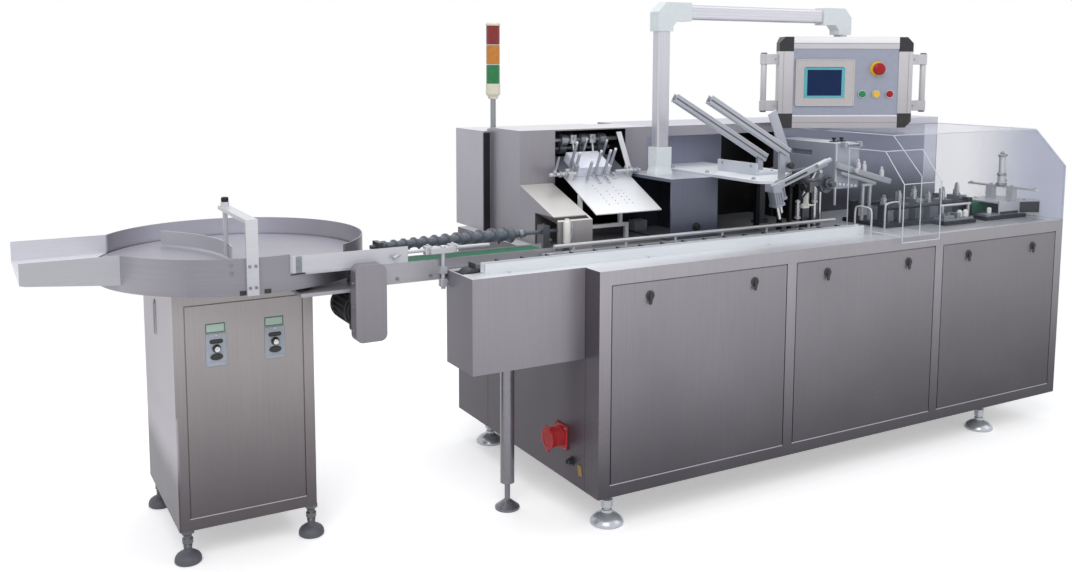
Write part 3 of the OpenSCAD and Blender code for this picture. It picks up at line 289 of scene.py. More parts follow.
def sheet_metal(name, light, dark, low=0.13, high=1.0, stretch=(260.0, 260.0, 5.0), rough=(0.30, 0.44),
                metallic=0.5, lines=0.10, cloud=0.10, left=None, left_dark=None, up=None, inside=(),
                inner="17161a", light_falloff=0.0):
    """Brushed sheet: light tone above, dark tone towards the floor, thin lines, slow clouds and a few marks.

    The dark tone towards the floor is painted shade. left, left_dark and up are tones of faces that look to
    the left and upwards, painted light and shade of the side a face turns to the lamps; the boxes of inside,
    each two corners in machine millimetres, hold the unlit tone inner, a painted shade, or a tone of their
    own that follows the corners, or two tones that blend between two heights, and after it a direction where
    only faces that look that way take it. Most of these boxes carry painted shade, shadow, highlight and
    reflection, noted at each finish. The falloff share is the part of the tone lost from the cabinet's left
    end to its right end, a painted falloff of the light.
    """
    m, t, bsdf = new_material(name)
    brush = place_group(t, BRUSHED, Stretch=stretch)
    # Painted shade: the tone darkens towards the floor.
    shade = place_group(t, SHADE, Low=low, High=high).outputs["Mask"]
    tone = mixed(t, shade, srgb(light), srgb(dark))
    # Painted light and shade on faces that look to the left and upwards.
    if left:
        facing = place_group(t, FACING, Direction=(-1.0, 0.0, 0.0)).outputs["Mask"]
        tone = mixed(t, facing, tone, mixed(t, shade, srgb(left), srgb(left_dark or dark)))
    if up:
        facing = place_group(t, FACING, Direction=(0.0, 0.0, 1.0)).outputs["Mask"]
        tone = mixed(t, facing, tone, srgb(up))
    tone = boxed(t, tone, inside, inner)
    line_tone = spread(t, brush.outputs["Lines"], 1.0 - lines, 1.0 + lines)
    cloud_tone = spread(t, brush.outputs["Cloud"], 1.0 - cloud, 1.0 + cloud)
    both = product(t, line_tone, cloud_tone)
    # Painted falloff of the light along the cabinet.
    if light_falloff:
        both = product(t, both, end_to_end(t, light_falloff))
    grey = node_of(t, "ShaderNodeCombineColor", [(0, both), (1, both), (2, both)]).outputs[0]
    colour = mixed(t, 1.0, tone, grey, "MULTIPLY")
    faint = product(t, place_group(t, MARKS).outputs["Marks"], MARK_SHARE)
    t.links.new(mixed(t, faint, colour, MARK_TONE), bsdf.inputs["Base Color"])
    t.links.new(spread(t, brush.outputs["Lines"], *rough), bsdf.inputs["Roughness"])
    bump = node_of(t, "ShaderNodeBump", [("Height", brush.outputs["Lines"]), ("Strength", BRUSH_BUMP),
                                         ("Distance", BRUSH_DEPTH)])
    t.links.new(bump.outputs[0], bsdf.inputs["Normal"])
    bsdf.inputs["Metallic"].default_value = metallic
    return m


def coated(name, tone, second, rough=(0.35, 0.5), metallic=0.0, grain=900.0, bump=0.12, spots=0.5, coat=0.0,
           specular=0.5):
    """Paint, plastic or rubber: two close tones in slow spots, fine grain in bump and roughness."""
    m, t, bsdf = new_material(name)
    g = place_group(t, GRAIN, Scale=grain)
    share = spread(t, g.outputs["Spots"], 0.0, 2.0 * spots)
    t.links.new(mixed(t, share, srgb(tone), srgb(second)), bsdf.inputs["Base Color"])
    t.links.new(spread(t, g.outputs["Spots"], *rough), bsdf.inputs["Roughness"])
    n = node_of(t, "ShaderNodeBump",
                [("Height", g.outputs["Grain"]), ("Strength", bump), ("Distance", GRAIN_DEPTH)])
    t.links.new(n.outputs[0], bsdf.inputs["Normal"])
    bsdf.inputs["Metallic"].default_value = metallic
    bsdf.inputs["Coat Weight"].default_value = coat
    bsdf.inputs["Specular IOR Level"].default_value = specular
    return m


def lens(name, tone, deep):
    """Coloured clear plastic: gloss over two close tones in slow spots."""
    m, t, bsdf = new_material(name)
    g = place_group(t, GRAIN, Scale=120.0)
    t.links.new(mixed(t, g.outputs["Spots"], srgb(tone), srgb(deep)), bsdf.inputs["Base Color"])
    t.links.new(spread(t, g.outputs["Grain"], 0.08, 0.2), bsdf.inputs["Roughness"])
    bsdf.inputs["Transmission Weight"].default_value = 0.25
    return m


PANE_NEAR, PANE_FAR = 90.0, 560.0
# Panes with milky lilac tones, partly their own and partly a painted reflection.
PANE_MILK_AND_REFLECTION = (((2391, -9, 890), (2409, 690, 1300), (0.56, 0.24), "b2b8d2", "eeeef7"),
               ((1600, 140, 1280), (2409, 690, 1297), (0.12, 0.24), "e4e5f2", "e4e5f2"))


def clear_pane(name):
    """Clear polycarbonate, nearly see-through, with fine wiping marks; the end pane and top are milky lilac,
    and that milk is partly their own and partly a painted reflection.

    Each row of PANE_MILK_AND_REFLECTION holds a pane's two corners, its density near and far, and its tones
    near and far.
    """
    m, t, bsdf = new_material(name)
    marks = place_group(t, MARKS, Stretch=(30.0, 30.0, 260.0), Width=0.015)
    g = place_group(t, GRAIN, Scale=40.0, Spots=6.0)
    haze = spread(t, g.outputs["Spots"], 0.015, 0.04)
    haze = node_of(t, "ShaderNodeMath", [(0, marks.outputs[0]), (1, 0.06), (2, haze)],
                   operation="MULTIPLY_ADD").outputs[0]
    colour = mixed(t, g.outputs["Spots"], srgb("b9c0d0"), srgb("a6aec2"))
    co = node_of(t, "ShaderNodeTexCoord").outputs["Object"]
    y = node_of(t, "ShaderNodeSeparateXYZ", [(0, co)]).outputs["Y"]
    near, far = ((v - MACHINE_ORIGIN[1]) / 1000.0 for v in (PANE_NEAR, PANE_FAR))
    depth = node_of(t, "ShaderNodeMapRange", [("Value", y), ("From Min", near), ("From Max", far)],
                    interpolation_type="SMOOTHSTEP").outputs[0]
    for lo, hi, milk_and_reflection, near_tone, far_tone in PANE_MILK_AND_REFLECTION:
        box = inside_box(t, lo, hi)
        dense = spread(t, depth, *milk_and_reflection)
        haze = node_of(t, "ShaderNodeMix", [(0, box), (2, haze), (3, dense)]).outputs[0]
        colour = mixed(t, box, colour, mixed(t, depth, srgb(near_tone), srgb(far_tone)))
    t.links.new(haze, bsdf.inputs["Alpha"])
    t.links.new(colour, bsdf.inputs["Base Color"])
    t.links.new(spread(t, g.outputs["Grain"], 0.06, 0.14), bsdf.inputs["Roughness"])
    bsdf.inputs["Specular IOR Level"].default_value = 0.4
    return m


# Table of finishes, with the stretches that give the brushed lines their direction

ALONG_X = (6.0, 240.0, 240.0)
UPRIGHT = (200.0, 200.0, 5.0)
PROFILE = (8.0, 8.0, 240.0)
EVEN = (80.0, 80.0, 80.0)

# Tones given as left, left_dark and up are painted light and shade of faces that look that way; light tones
# above dark ones are painted shade towards the floor.
MAT = {
    # Cabinet: painted shade on the deck among the housings and under the guard, and a painted light falloff.
    "cabinet": sheet_metal("cabinet_sheet", "a8a5ab", "403c43", 0.12, 1.02, left="5e5861", left_dark="4f4950",
                           up="dfe1e5", inside=[((60, 279, 890), (1350, 840, 902)),
                                                ((1600, 24, 890), (2330, 440, 902), "888a94")], light_falloff=0.18),
    # Doors: a painted light falloff towards the right end.
    "door": sheet_metal("door_sheet", "97949a", "444047", 0.12, 1.0, light_falloff=0.3),
    "infeed": sheet_metal("infeed_sheet", "99959c", "837f86", 0.5, 0.98, left="8c8993", up="dfe1e5"),
    # Leaflet housing: the unlit box is painted shade in the window's recess.
    "window": sheet_metal("window_housing_sheet", "98959c", "827e86", 0.85, 1.35, left="9d9ba4", up="d0d0d6",
                          inside=[((225, 681, 905), (566, 885, 1314))]),
    # Electrical cabinet: the dark box is painted shade in the gap beside the leaflet housing.
    "electrical": sheet_metal("electrical_sheet", "9d9aa0", "87848a", 0.85, 1.35, left="aeabb4",
                              left_dark="9d9aa3", up="d0d0d6",
                              inside=[((38, 910, 890), (75, 934, 1298), "29282d")]),
    # Bay housing: boxes of painted shade and painted shadow in the recess and on the wall behind the guards.
    "bay": sheet_metal("bay_housing_sheet", "98969f", "86848d", 0.85, 1.35, left="8d8c98", up="bcbcc9",
                       metallic=0.3,
                       inside=[((660, 670, 890), (2400, 840, 1276), "868b9f"),
                               # Painted shadow under the magazine bed, and painted shade deeper in the
                               # recess.
                               ((684, 681, 890), (1356, 835, 1135)),
                               ((1130, 681, 890), (1356, 835, 1278)),
                               # Painted shade: the wall behind the guard darkens towards its foot; under the
                               # closing housing it is unlit.
                               ((1350, 670, 890), (2316, 690, 1284), ("9da1b3", "3f4149", 1.0, 1.22)),
                               ((1350, 670, 890), (1500, 690, 1062)),
                               # Light strip at the wall's right end, with painted shade towards its foot.
                               ((2308, 670, 890), (2400, 690, 1284), ("dcdcea", "5a5c66", 1.0, 1.2)),
                               # Painted highlight along the front edge of the top.
                               ((1480, 670, 1284), (2400, 690, 1325), "cecdd6")]),
    # Chute cover: the unlit box is painted shade in the chute's opening.
    "chute": sheet_metal("chute_sheet", "a39fa2", "8b878a", 0.85, 1.1, left="8e8c95", up="dcd9d6",
                         inside=[((60, 398, 890), (214, 562, 1020))]),
    # Arm pedestal: the unlit box is painted shade inside its open side.
    "pedestal": sheet_metal("pedestal_sheet", "666a7a", "545868", 0.90, 1.15, up="c7ccd4",
                            inside=[((540, 364, 904), (722, 676, 1127))]),
    # Closing housing: the near-black box is painted shade on its low back block.
    "closing": sheet_metal("closing_sheet", "a2a7b4", "8b909e", 0.95, 1.25, left="9a9fae", up="e6e9ee",
                           metallic=0.2, inside=[((1340, 510, 890), (1495, 690, 1062))], inner="0b0a0c"),
    # Stand: the two-tone band low on the left face is a painted reflection of the floor.
    "stand": sheet_metal("stand_sheet", "aba5a5", "514c50", 0.10, 1.03, left="b4afb7", left_dark="8f8a93",
                         inside=[((-1262, 455, 100), (-1243, 1015, 480), ("a09ba3", "4a454d", 0.30, 0.44))]),
    # Tray: the box paints the outer face of the front wall darker, a painted shade.
    "tray": sheet_metal("tray_sheet", "cfd0d7", "bebfc7", 0.85, 1.0, stretch=ALONG_X, lines=0.06,
                        metallic=0.25, up="dddce3",
                        inside=[((-1670, 510, 890), (-1360, 524, 1003), "b1b2b7")]),
    "bright": sheet_metal("bright_sheet", "cdced3", "b2b3ba", 0.85, 1.2, stretch=ALONG_X, lines=0.07,
                          metallic=0.4),
    "bed": sheet_metal("magazine_sheet", "cfd3db", "bcc1cb", 1.0, 1.4, stretch=ALONG_X, lines=0.06,
                       metallic=0.1, up="eef1f5"),
    "rails": sheet_metal("rail_channels", "aeb1ba", "969aa4", 1.1, 1.5, stretch=(6.0, 240.0, 6.0), lines=0.08,
                         metallic=0.5, up="cfd2d9"),
    "pole": sheet_metal("pole_tube", "94979b", "85888c", 1.2, 1.5, stretch=UPRIGHT,
                        rough=(0.15, 0.25), metallic=0.7),
    "leg": sheet_metal("leg_tube", "96949b", "7d7b82", 0.1, 0.7, stretch=UPRIGHT,
                       rough=(0.22, 0.34), inside=[((-600, 80, -9), (-200, 420, 44), "45434b")]),
    "conveyor": sheet_metal("conveyor_sheet", "a6a5ab", "7e7c83", 0.84, 0.95, stretch=(5.0, 220.0, 220.0),
                            lines=0.06),
    "cover": sheet_metal("cover_sheet", "8d8990", "7c787f", 0.68, 0.98),
    # Table: darker up the slope and darker still inside the window, a painted shadow of the window housing.
    "table": sheet_metal("table_sheet", "cdd0d6", "f4f5f7", 1.08, 1.22, stretch=ALONG_X, lines=0.04,
                         metallic=0.15, inside=[((236, 640, 1100), (545, 775, 1240))], inner="6a6d76"),
    # Rim: the lighter left tones and the lighter box on the inner face that looks forward are painted light.
    "rim": sheet_metal("rim_sheet", "8b8991", "797780", 0.87, 1.0, stretch=(5.0, 5.0, 300.0), lines=0.08,
                       cloud=0.22, left="a9a6ae", left_dark="9a979f",
                       inside=[((-1500, 760, 930), (-500, 1160, 1000), "b3b2bd", (0.0, -1.0, 0.0))]),
    "disc": sheet_metal("disc_sheet", "a3a2ad", "94939e", 0.9, 1.0, stretch=(120.0, 120.0, 4.0),
                        rough=(0.34, 0.5)),
    "deck": sheet_metal("deck_sheet", "dde1e6", "c6cbd2", 0.85, 0.98, stretch=(4.0, 200.0, 200.0), lines=0.04,
                        metallic=0.3),
    "machined": sheet_metal("machined_steel", "a5a9b1", "7d828b", 0.9, 1.3, stretch=(150.0, 150.0, 150.0),
                            rough=(0.26, 0.4)),
    "dark_steel": sheet_metal("dark_steel", "5e6168", "3c3e45", 0.9, 1.2, stretch=(120.0, 120.0, 120.0)),
    "chrome": sheet_metal("polished_foot", "c6c6c9", "8d8d92", 0.0, 0.1, stretch=EVEN,
                          rough=(0.12, 0.22), metallic=0.9, lines=0.05),
    "bell": sheet_metal("bell_foot", "c3c6cd", "7f828b", 0.0, 0.055, stretch=(6.0, 6.0, 260.0),
                        rough=(0.2, 0.32), metallic=0.45, lines=0.08),
    "rubber": coated("foot_rubber", "5f5f68", "53535b", rough=(0.5, 0.65), grain=700.0, bump=0.2),
    "foot_dark": sheet_metal("dark_foot", "67666a", "3c3b3f", 0.0, 0.1, stretch=EVEN,
                             rough=(0.2, 0.35)),
    "black": coated("black_plastic", "1d1d20", "2a2a2d"),
    "black_rail": coated("black_oxide", "1b1b1f", "27272c", rough=(0.34, 0.5), metallic=0.2, specular=0.3),
    "red": coated("red_plastic", "b0262b", "9a2027"),
    "cream": coated("cream_plastic", "e4dfcf", "d8d2c0"),
    "arm_paint": coated("arm_paint", "dfe5e8", "d0d8dc", rough=(0.3, 0.42), grain=500.0),
    "aluminium": sheet_metal("anodised_tube", "c9c9d1", "bebec7", 1.0, 1.8, stretch=(5.0, 200.0, 200.0),
                             lines=0.04, metallic=0.75, rough=(0.3, 0.4)),
    "panel_frame": sheet_metal("panel_profile", "cbc8cc", "b0adb2", 1.28, 1.68, stretch=PROFILE,
                               lines=0.04, metallic=0.15),
    # Painted highlight: the bright bands on the panel profiles' bevels.
    "panel_highlight": sheet_metal("panel_painted_highlight", "f4f3f6", "e9e8ec", 1.28, 1.68, stretch=PROFILE,
                              lines=0.03, metallic=0.1),
    "handle": sheet_metal("handle_casting", "c6c4c8", "b6b4b9", 1.35, 1.62, stretch=(60.0, 60.0, 60.0),
                          lines=0.04, metallic=0.15, rough=(0.36, 0.5)),
    "panel_plate": coated("panel_plate", "a3a8b8", "979cad", rough=(0.32, 0.42), metallic=0.3),
    "bezel": coated("bezel_plastic", "c5c0c0", "b9b4b4"),
    "screen": coated("screen_glass", "16305a", "0c1f44", rough=(0.22, 0.32), bump=0.0, grain=30.0,
                     specular=0.15),
    "belt": coated("green_belt", "1d6a4c", "185a41", rough=(0.5, 0.65), grain=1400.0, bump=0.3),
    "motor": coated("motor_casting", "26272b", "34353a", rough=(0.45, 0.6), metallic=0.5, grain=600.0,
                    bump=0.3),
    "screw": coated("screw_nylon", "5d636e", "4d525d", rough=(0.32, 0.45), grain=400.0),
    "plate": coated("control_plate", "a9b0ba", "9aa1ac"),
    "paper": coated("leaflet_paper", "f3f3fb", "dde1f3", rough=(0.7, 0.85), grain=300.0, bump=0.2),
    "green_lens": lens("green_lens", "1f9a55", "0f6d3a"),
    "amber_lens": lens("amber_lens", "e39a3c", "c8761f"),
    "red_lens": lens("red_lens", "a5272c", "781519"),
    "pane": clear_pane("clear_pane"),
    "brass": coated("brass_plate", "a08a4e", "8a7640", metallic=0.9),
    "yellow": coated("yellow_plastic", "f0c63a", "e2b42a"),
    "green": coated("green_plastic", "148a58", "10784c"),
    "stop_red": coated("stop_red", "ab141e", "960f18", rough=(0.26, 0.38), coat=0.08, specular=0.3),
    "turquoise": coated("turquoise_trim", "62b4c0", "55a5b2"),
    "white": coated("white_plastic", "f0efea", "e4e2dc"),
    "pale_green": coated("blank_label", "b9cdbf", "a9bfb0"),
    "deep_green": coated("label_frame", "4f7a6c", "436b5f"),
    "panel_shade": coated("groove_shade", "8e8c8b", "7c7a7a", metallic=0.6),
    # Pane edges: light tone of the sawn edges, partly a painted highlight.
    "pane_edge": coated("pane_edge", "d3dae2", "c3ccd6", rough=(0.2, 0.3), bump=0.0),
}

# Finish of each node of the frame

NODE_FINISH = {
    "cabinet": "base_cabinet",
    "infeed": "infeed_box",
    "door": "access_doors",
    "cover": "drive_cover",
    "window": "leaflet_housing",
    "electrical": "electrical_cabinet",
    "bay": "rear_housing",
    "chute": "chute_cover",
    "pedestal": "arm_pedestal",
    "closing": "closing_housing",
    "stand": "stand_cabinet",
    "tray": "loading_tray",
    "bright": "guide_bridge guide_bow conveyor_guides rear_rail press_unit leaflet_guides",
    "pole": "beacon_pole",
    "bed": "magazine_bed",
    "rails": "carton_rails",
    "leg": "conveyor_leg",
    "conveyor": "conveyor_bed",
    "table": "leaflet_table",
    "rim": "turntable_rim",
    "disc": "turntable_disc",
    "deck": "front_rail",
    "machined": "leaflet_rollers conveyor_rollers push_buttons closing_blocks",
    "dark_steel": "product_chain screw_bearings carton_erector",
    "chrome": "machine_feet",
    "foot_dark": "stand_feet",
    "black": "door_latches panel_corners",
    "black_rail": "closing_rail",
    "red": "power_inlet",
    "cream": "beacon_base",
    "arm_paint": "arm_fittings",
    "aluminium": "arm_tubes",
    "panel_frame": "panel_case",
    "handle": "panel_handles",
    "panel_plate": "panel_face",
    "bezel": "screen_bezel",
    "screen": "screen_glass",
    "stop_red": "stop_button",
    "belt": "conveyor_belt outfeed_belt",
    "motor": "drive_motor",
    "screw": "timing_screw",
    "plate": "speed_controls",
    "paper": "leaflet_stack",
    "green_lens": "beacon_green",
    "amber_lens": "beacon_amber",
    "red_lens": "beacon_red",
    "pane": "end_guard lifting_guard",
}
for finish_name, names in NODE_FINISH.items():
    for node_name in names.split():
        mesh = nodes[node_name].data
        mesh.materials.clear()
        mesh.materials.append(MAT[finish_name])

# Shapes: (points, quads) in machine millimetres


def surface(grid, wrap=True):
    """Quads between neighbouring rows and columns of points; wrap joins the last column to the first."""
    p = np.asarray(grid, float)
    index = np.arange(p.shape[0] * p.shape[1]).reshape(p.shape[:2])
    index = np.hstack([index, index[:, :1]]) if wrap else index
    quads = np.stack([index[:-1, :-1], index[:-1, 1:], index[1:, 1:], index[1:, :-1]], -1)
    return p.reshape(-1, 3), quads.reshape(-1, 4)


def square_to(axis):
    """Rows of a turned frame: two directions square to the axis, then the axis."""
    w = np.asarray(axis, float) / np.linalg.norm(axis)
    u = np.cross(np.eye(3)[np.argmin(np.abs(w))], w)
    u /= np.linalg.norm(u)
    return np.stack([u, np.cross(w, u), w])


def turned(profile, base, axis=UP, sides=28, loop=False):
    """Profile of (radius, height) carried round an axis: r cos a, r sin a, h.

    Both ends close on the axis, or with loop the profile's end joins its start, as in a ring.
    """
    pr = np.asarray(profile, float)
    pr = np.vstack([pr, pr[:1]]) if loop else np.vstack([[0.0, pr[0, 1]], pr, [0.0, pr[-1, 1]]])
    a = np.linspace(0.0, 2.0 * np.pi, sides, endpoint=False)
    flat = np.ones(sides)
    local = np.stack([pr[:, :1] * np.cos(a), pr[:, :1] * np.sin(a), pr[:, 1:] * flat], -1)
    return surface(np.asarray(base, float) + local @ square_to(axis))


def rounded(w, h, r, n=3):
    """Rectangle w by h about 0 whose corners are quarter circles of radius r, as points in turn."""
    a = np.linspace(0.0, np.pi / 2, n)[None, :] + (np.arange(4) * np.pi / 2)[:, None]
    corner = np.array([(1, 1), (-1, 1), (-1, -1), (1, -1)]) * (w / 2 - r, h / 2 - r)
    return (corner[:, None] + r * np.stack([np.cos(a), np.sin(a)], -1)).reshape(-1, 2)


def disc_outline(r, n=12):
    """Circle of radius r as n points in turn."""
    a = np.linspace(0.0, 2.0 * np.pi, n, endpoint=False)
    return r * np.stack([np.cos(a), np.sin(a)], -1)


def slab(lo, hi, axis=2, corner=1.0, bevel=0.8):
    """Block between corners: rounded outlines carried along an axis, drawn in by a bevel at the ends."""
    lo, hi = np.minimum(lo, hi).astype(float), np.maximum(lo, hi).astype(float)
    u, v = (axis + 1) % 3, (axis + 2) % 3
    size = hi - lo
    b = min(bevel, 0.3 * size.min())
    corner = min(max(corner, b + 0.05), 0.499 * min(size[u], size[v]))
    inset = np.array([corner, b, 0.0, 0.0, b, corner])
    height = np.array([0.0, 0.0, b, size[axis] - b, size[axis], size[axis]])
    rings = np.stack([rounded(size[u] - 2 * i, size[v] - 2 * i, max(corner - i, 0.01), 4) for i in inset])
    rings[[0, -1]] = 0.0
    grid = np.zeros(rings.shape[:2] + (3,))
    grid[..., u], grid[..., v] = rings[..., 0] + (lo + hi)[u] / 2, rings[..., 1] + (lo + hi)[v] / 2
    grid[..., axis] = lo[axis] + height[:, None]
    return surface(grid)


def carried(outline, path, up=UP):
    """Closed outline of (side, lift) points carried square to a path; both ends close on their middles."""
    p, o = np.asarray(path, float), np.asarray(outline, float)
    t = np.gradient(p, axis=0)
    t /= np.linalg.norm(t, axis=1, keepdims=True)
    side = np.cross(t, up)
    side /= np.linalg.norm(side, axis=1, keepdims=True)
    lift = np.cross(side, t)
    grid = p[:, None] + o[None, :, :1] * side[:, None] + o[None, :, 1:] * lift[:, None]
    ends = np.repeat(p[[0, -1], None], len(o), axis=1)
    return surface(np.concatenate([ends[:1], grid, ends[1:]]))


def eased(points, n=24):
    """Smooth path through a few points: cubic blend of each two neighbours, with slopes from those around."""
    p = np.asarray(points, float)
    slope = np.gradient(p, axis=0)
    at = np.linspace(0.0, len(p) - 1.0, n)
    i = np.minimum(at.astype(int), len(p) - 2)
    f = (at - i)[:, None]
    return ((2 * f**3 - 3 * f**2 + 1) * p[i] + (f**3 - 2 * f**2 + f) * slope[i]
            + (-2 * f**3 + 3 * f**2) * p[i + 1] + (f**3 - f**2) * slope[i + 1])


def rod(a, b, r, sides=14):
    """Round bar from a to b with a small chamfer at each end."""
    a, b = np.asarray(a, float), np.asarray(b, float)
    length = np.linalg.norm(b - a)
    c = min(0.25 * r, 1.0)
    return turned([(r - c, 0), (r, c), (r, length - c), (r - c, length)], a, b - a, sides)


def wire(points, r, n=24, sides=10, up=UP):
    """Round bar of radius r along the smooth path through the points."""
    return carried(disc_outline(r, sides), eased(points, n), up)


def cap_screw(base, axis, r=5.0, h=4.0, sides=18):
    """Screw head: short drum with a rounded rim and a shallow socket in its face."""
    profile = [(r, 0), (r, 0.7 * h), (0.86 * r, h), (0.5 * r, h), (0.45 * r, 0.55 * h)]
    return turned(profile, base, axis, sides)


def nut(base, axis, r=8.0, h=6.0):
    """Six-sided nut with chamfered corners and its stud's end."""
    profile = [(0.9 * r, 0), (r, 0.15 * h), (r, 0.85 * h), (0.88 * r, h), (0.5 * r, h), (0.5 * r, 1.4 * h)]
    return turned(profile, base, axis, 6)


def bar(a, b, w, t, up=UP, corner=1.0):
    """Flat bar from a to b: a w by t rectangle with eased corners carried along the line; t lies along up."""
    outline = rounded(w, t, min(corner, 0.45 * min(w, t)), 3)
    return carried(outline, np.stack([np.asarray(a, float), np.asarray(b, float)]), up)


def ring(base, axis, inner, outer, h, sides=28):
    """Collar: a rectangle of the two radii and the height carried round the axis, with small chamfers."""
    c = 0.15 * h
    profile = [(inner, 0), (outer - c, 0), (outer, c), (outer, h - c), (outer - c, h), (inner, h)]
    return turned(profile, base, axis, sides, True)


def spring(base, axis, r, length, turns, wire_r=1.4):
    """Coil spring: r cos a, r sin a and a rise in proportion to the angle a, as the path of a thin wire."""
    a = np.linspace(0.0, 2.0 * np.pi * turns, int(14 * turns))
    local = np.stack([r * np.cos(a), r * np.sin(a), length * a / a[-1]], -1)
    return carried(disc_outline(wire_r, 6), local @ square_to(axis) + np.asarray(base, float), axis)


def knob(base, axis, r=12.0, h=22.0):
    """Turned clamping knob: a slim neck under a rounded head."""
    profile = [(0.55 * r, 0), (0.55 * r, 0.35 * h), (r, 0.45 * h), (r, 0.85 * h), (0.8 * r, h)]
    return turned(profile, base, axis, 24)


def joined(shapes):
    """Several shapes as one list of points and quads."""
    counts = np.cumsum([0] + [len(p) for p, _ in shapes])
    return np.vstack([p for p, _ in shapes]), np.vstack([q + n for (_, q), n in zip(shapes, counts)])


def turned_about_z(points, angle):
    """Points turned about the upright axis through 0."""
    c, s = math.cos(angle), math.sin(angle)
    return points @ np.array([[c, s, 0.0], [-s, c, 0.0], [0.0, 0.0, 1.0]])


def on_panel(shapes):
    """Shapes given in the panel's own frame (x across, y to the back, z up) brought to the panel's place."""
    points, quads = joined(shapes)
    return [(turned_about_z(points, PANEL_TURN) + PANEL_AXIS, quads)]


TABLE_FRONT = np.array([242.0, 400.0, 1017.0])
TABLE_SLOPE = math.radians(26.8)


def on_leaflet_table(shapes):
    """Shapes given on the sloping table (x across, y up the slope, z square to it) brought to its place."""
    points, quads = joined(shapes)
    c, s = math.cos(TABLE_SLOPE), math.sin(TABLE_SLOPE)
    return [(points @ np.array([[1.0, 0.0, 0.0], [0.0, c, s], [0.0, -s, c]]) + TABLE_FRONT, quads)]


def piece(name, shapes, material, body="machine", replaces=(), sharp=32.0):
    """Object from shapes: in metres, doubles merged, faces turned outwards, smooth up to a sharp angle."""
    points, quads = joined(shapes)
    made = bpy.data.meshes.new(name)
    made.from_pydata(((points - MACHINE_ORIGIN) / 1000.0).tolist(), [], quads.tolist())
    bm = bmesh.new()
    bm.from_mesh(made)
    bmesh.ops.remove_doubles(bm, verts=bm.verts, dist=2e-6)
    bmesh.ops.dissolve_degenerate(bm, edges=bm.edges, dist=1e-7)
    bmesh.ops.recalc_face_normals(bm, faces=bm.faces)
    bm.to_mesh(made)
    bm.free()
    made.polygons.foreach_set("use_smooth", np.ones(len(made.polygons), bool))
    made.set_sharp_from_angle(angle=math.radians(sharp))
    made.materials.append(MAT[material])
    obj = bpy.data.objects.new(name, made)
    scene.collection.objects.link(obj)
    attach(obj, body)
    if replaces:
        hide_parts(*replaces)
    return obj


# Base


DOOR_SPANS = ((50.0, 805.0), (857.0, 1589.0), (1641.0, 2350.0))
LATCH_Z, LATCH_INSET = 802.0, 150.0


def turn_latch(x, y, out):
    """Turn latch: a dished plate and a wing that hangs a little askew; out is -1 in front, 1 at the back."""
    plate = turned([(17, 0), (17, 2), (14, 5), (10.5, 6), (10.5, 9)], (x, y, LATCH_Z), (0, out, 0), 32)
    wing = slab((-6.5, 0.0, -30.0), (6.5, 4.5, 9.0), axis=1, corner=6.0, bevel=1.2)
    lean = math.radians(10.0 * out)
    turn = np.array([[math.cos(lean), 0, math.sin(lean)], [0, 1, 0], [-math.sin(lean), 0, math.cos(lean)]])
    wing_points = wing[0] * (1.0, out, 1.0) @ turn + (x, y + 6.5 * out, LATCH_Z)
    return [plate, (wing_points, wing[1])]


def latch_details():
    """Turn latches near both upper corners of each door, front and back."""
    xs = [x for lo, hi in DOOR_SPANS for x in (lo + LATCH_INSET, hi - LATCH_INSET)]
    shapes = [s for x in xs for y, out in ((0.0, -1), (CABINET_W, 1)) for s in turn_latch(x, y, out)]
    piece("turn_latches", shapes, "black", replaces=["door_latches"])


INLET_Y, INLET_Z = 233.0, 280.0
GLAND = (0.0, 166.0, 210.0)
TAG = (0.0, 113.0, 194.0)
TAG_LEAN = math.radians(-14.0)


def from_inlet(x, dy=0.0, dz=0.0):
    """Point at x, set off from the axis of the power inlet."""
    return (x, INLET_Y + dy, INLET_Z + dz)


def inlet_details():
    """Power inlet with flange, ribbed drum, hinged lid and screws, and below it a gland and an earth tag."""
    flange = slab(from_inlet(-8.0, -41.0, -43.0), from_inlet(0.0, 41.0, 43.0), 0, 6.0, 1.5)
    drum = turned([(34, 0), (35, 1), (35, 45)], from_inlet(-7.5), LEFT, 40)
    piece("inlet_body", [flange, drum], "red", replaces=["power_inlet"])
    lid = turned([(34, -0.5), (38, 1), (39, 6), (39, 10), (37, 12), (30, 12.5), (28, 10.5)],
                 from_inlet(-50.0), LEFT, 40)
    rib = [(34.8, 0), (36.2, 1.2), (36.2, 3), (34.8, 4.2)]
    ribs = [turned(rib, from_inlet(-14.0 - 9.0 * k), LEFT, 40) for k in range(3)]
    tab = slab(from_inlet(-62.0, -10.0, -48.0), from_inlet(-54.0, 10.0, -34.0), corner=3.0)
    hinge = rod(from_inlet(-56.0, -16.0, 38.0), from_inlet(-56.0, 16.0, 38.0), 4.5)
    piece("inlet_lid", [lid, *ribs, tab, hinge], "red")
    corners = [from_inlet(-8.0, 34.0 * a, 36.0 * b) for a in (-1, 1) for b in (-1, 1)]
    piece("inlet_screws", [cap_screw(c, LEFT, 4.0, 3.0) for c in corners], "machined")
    gland = [turned([(15, 0), (15, 6), (12.5, 7), (12.5, 17), (10, 20), (7, 21), (6, 16)], GLAND, LEFT, 6),
             turned([(18, 0), (18, 1.6), (15, 2)], GLAND, LEFT)]
    piece("cable_gland", gland, "black")
    tag = slab((-2.2, -12.0, -19.0), (0.0, 12.0, 19.0), axis=0, corner=3.0, bevel=0.5)
    c, s = math.cos(TAG_LEAN), math.sin(TAG_LEAN)
    leaning = (tag[0] @ np.array([[1, 0, 0], [0, c, s], [0, -s, c]]) + TAG, tag[1])
    screw = cap_screw((-2.0, 109.0, 210.0), LEFT, 4.0, 3.0)
    piece("earth_tag", [leaning, screw], "brass")


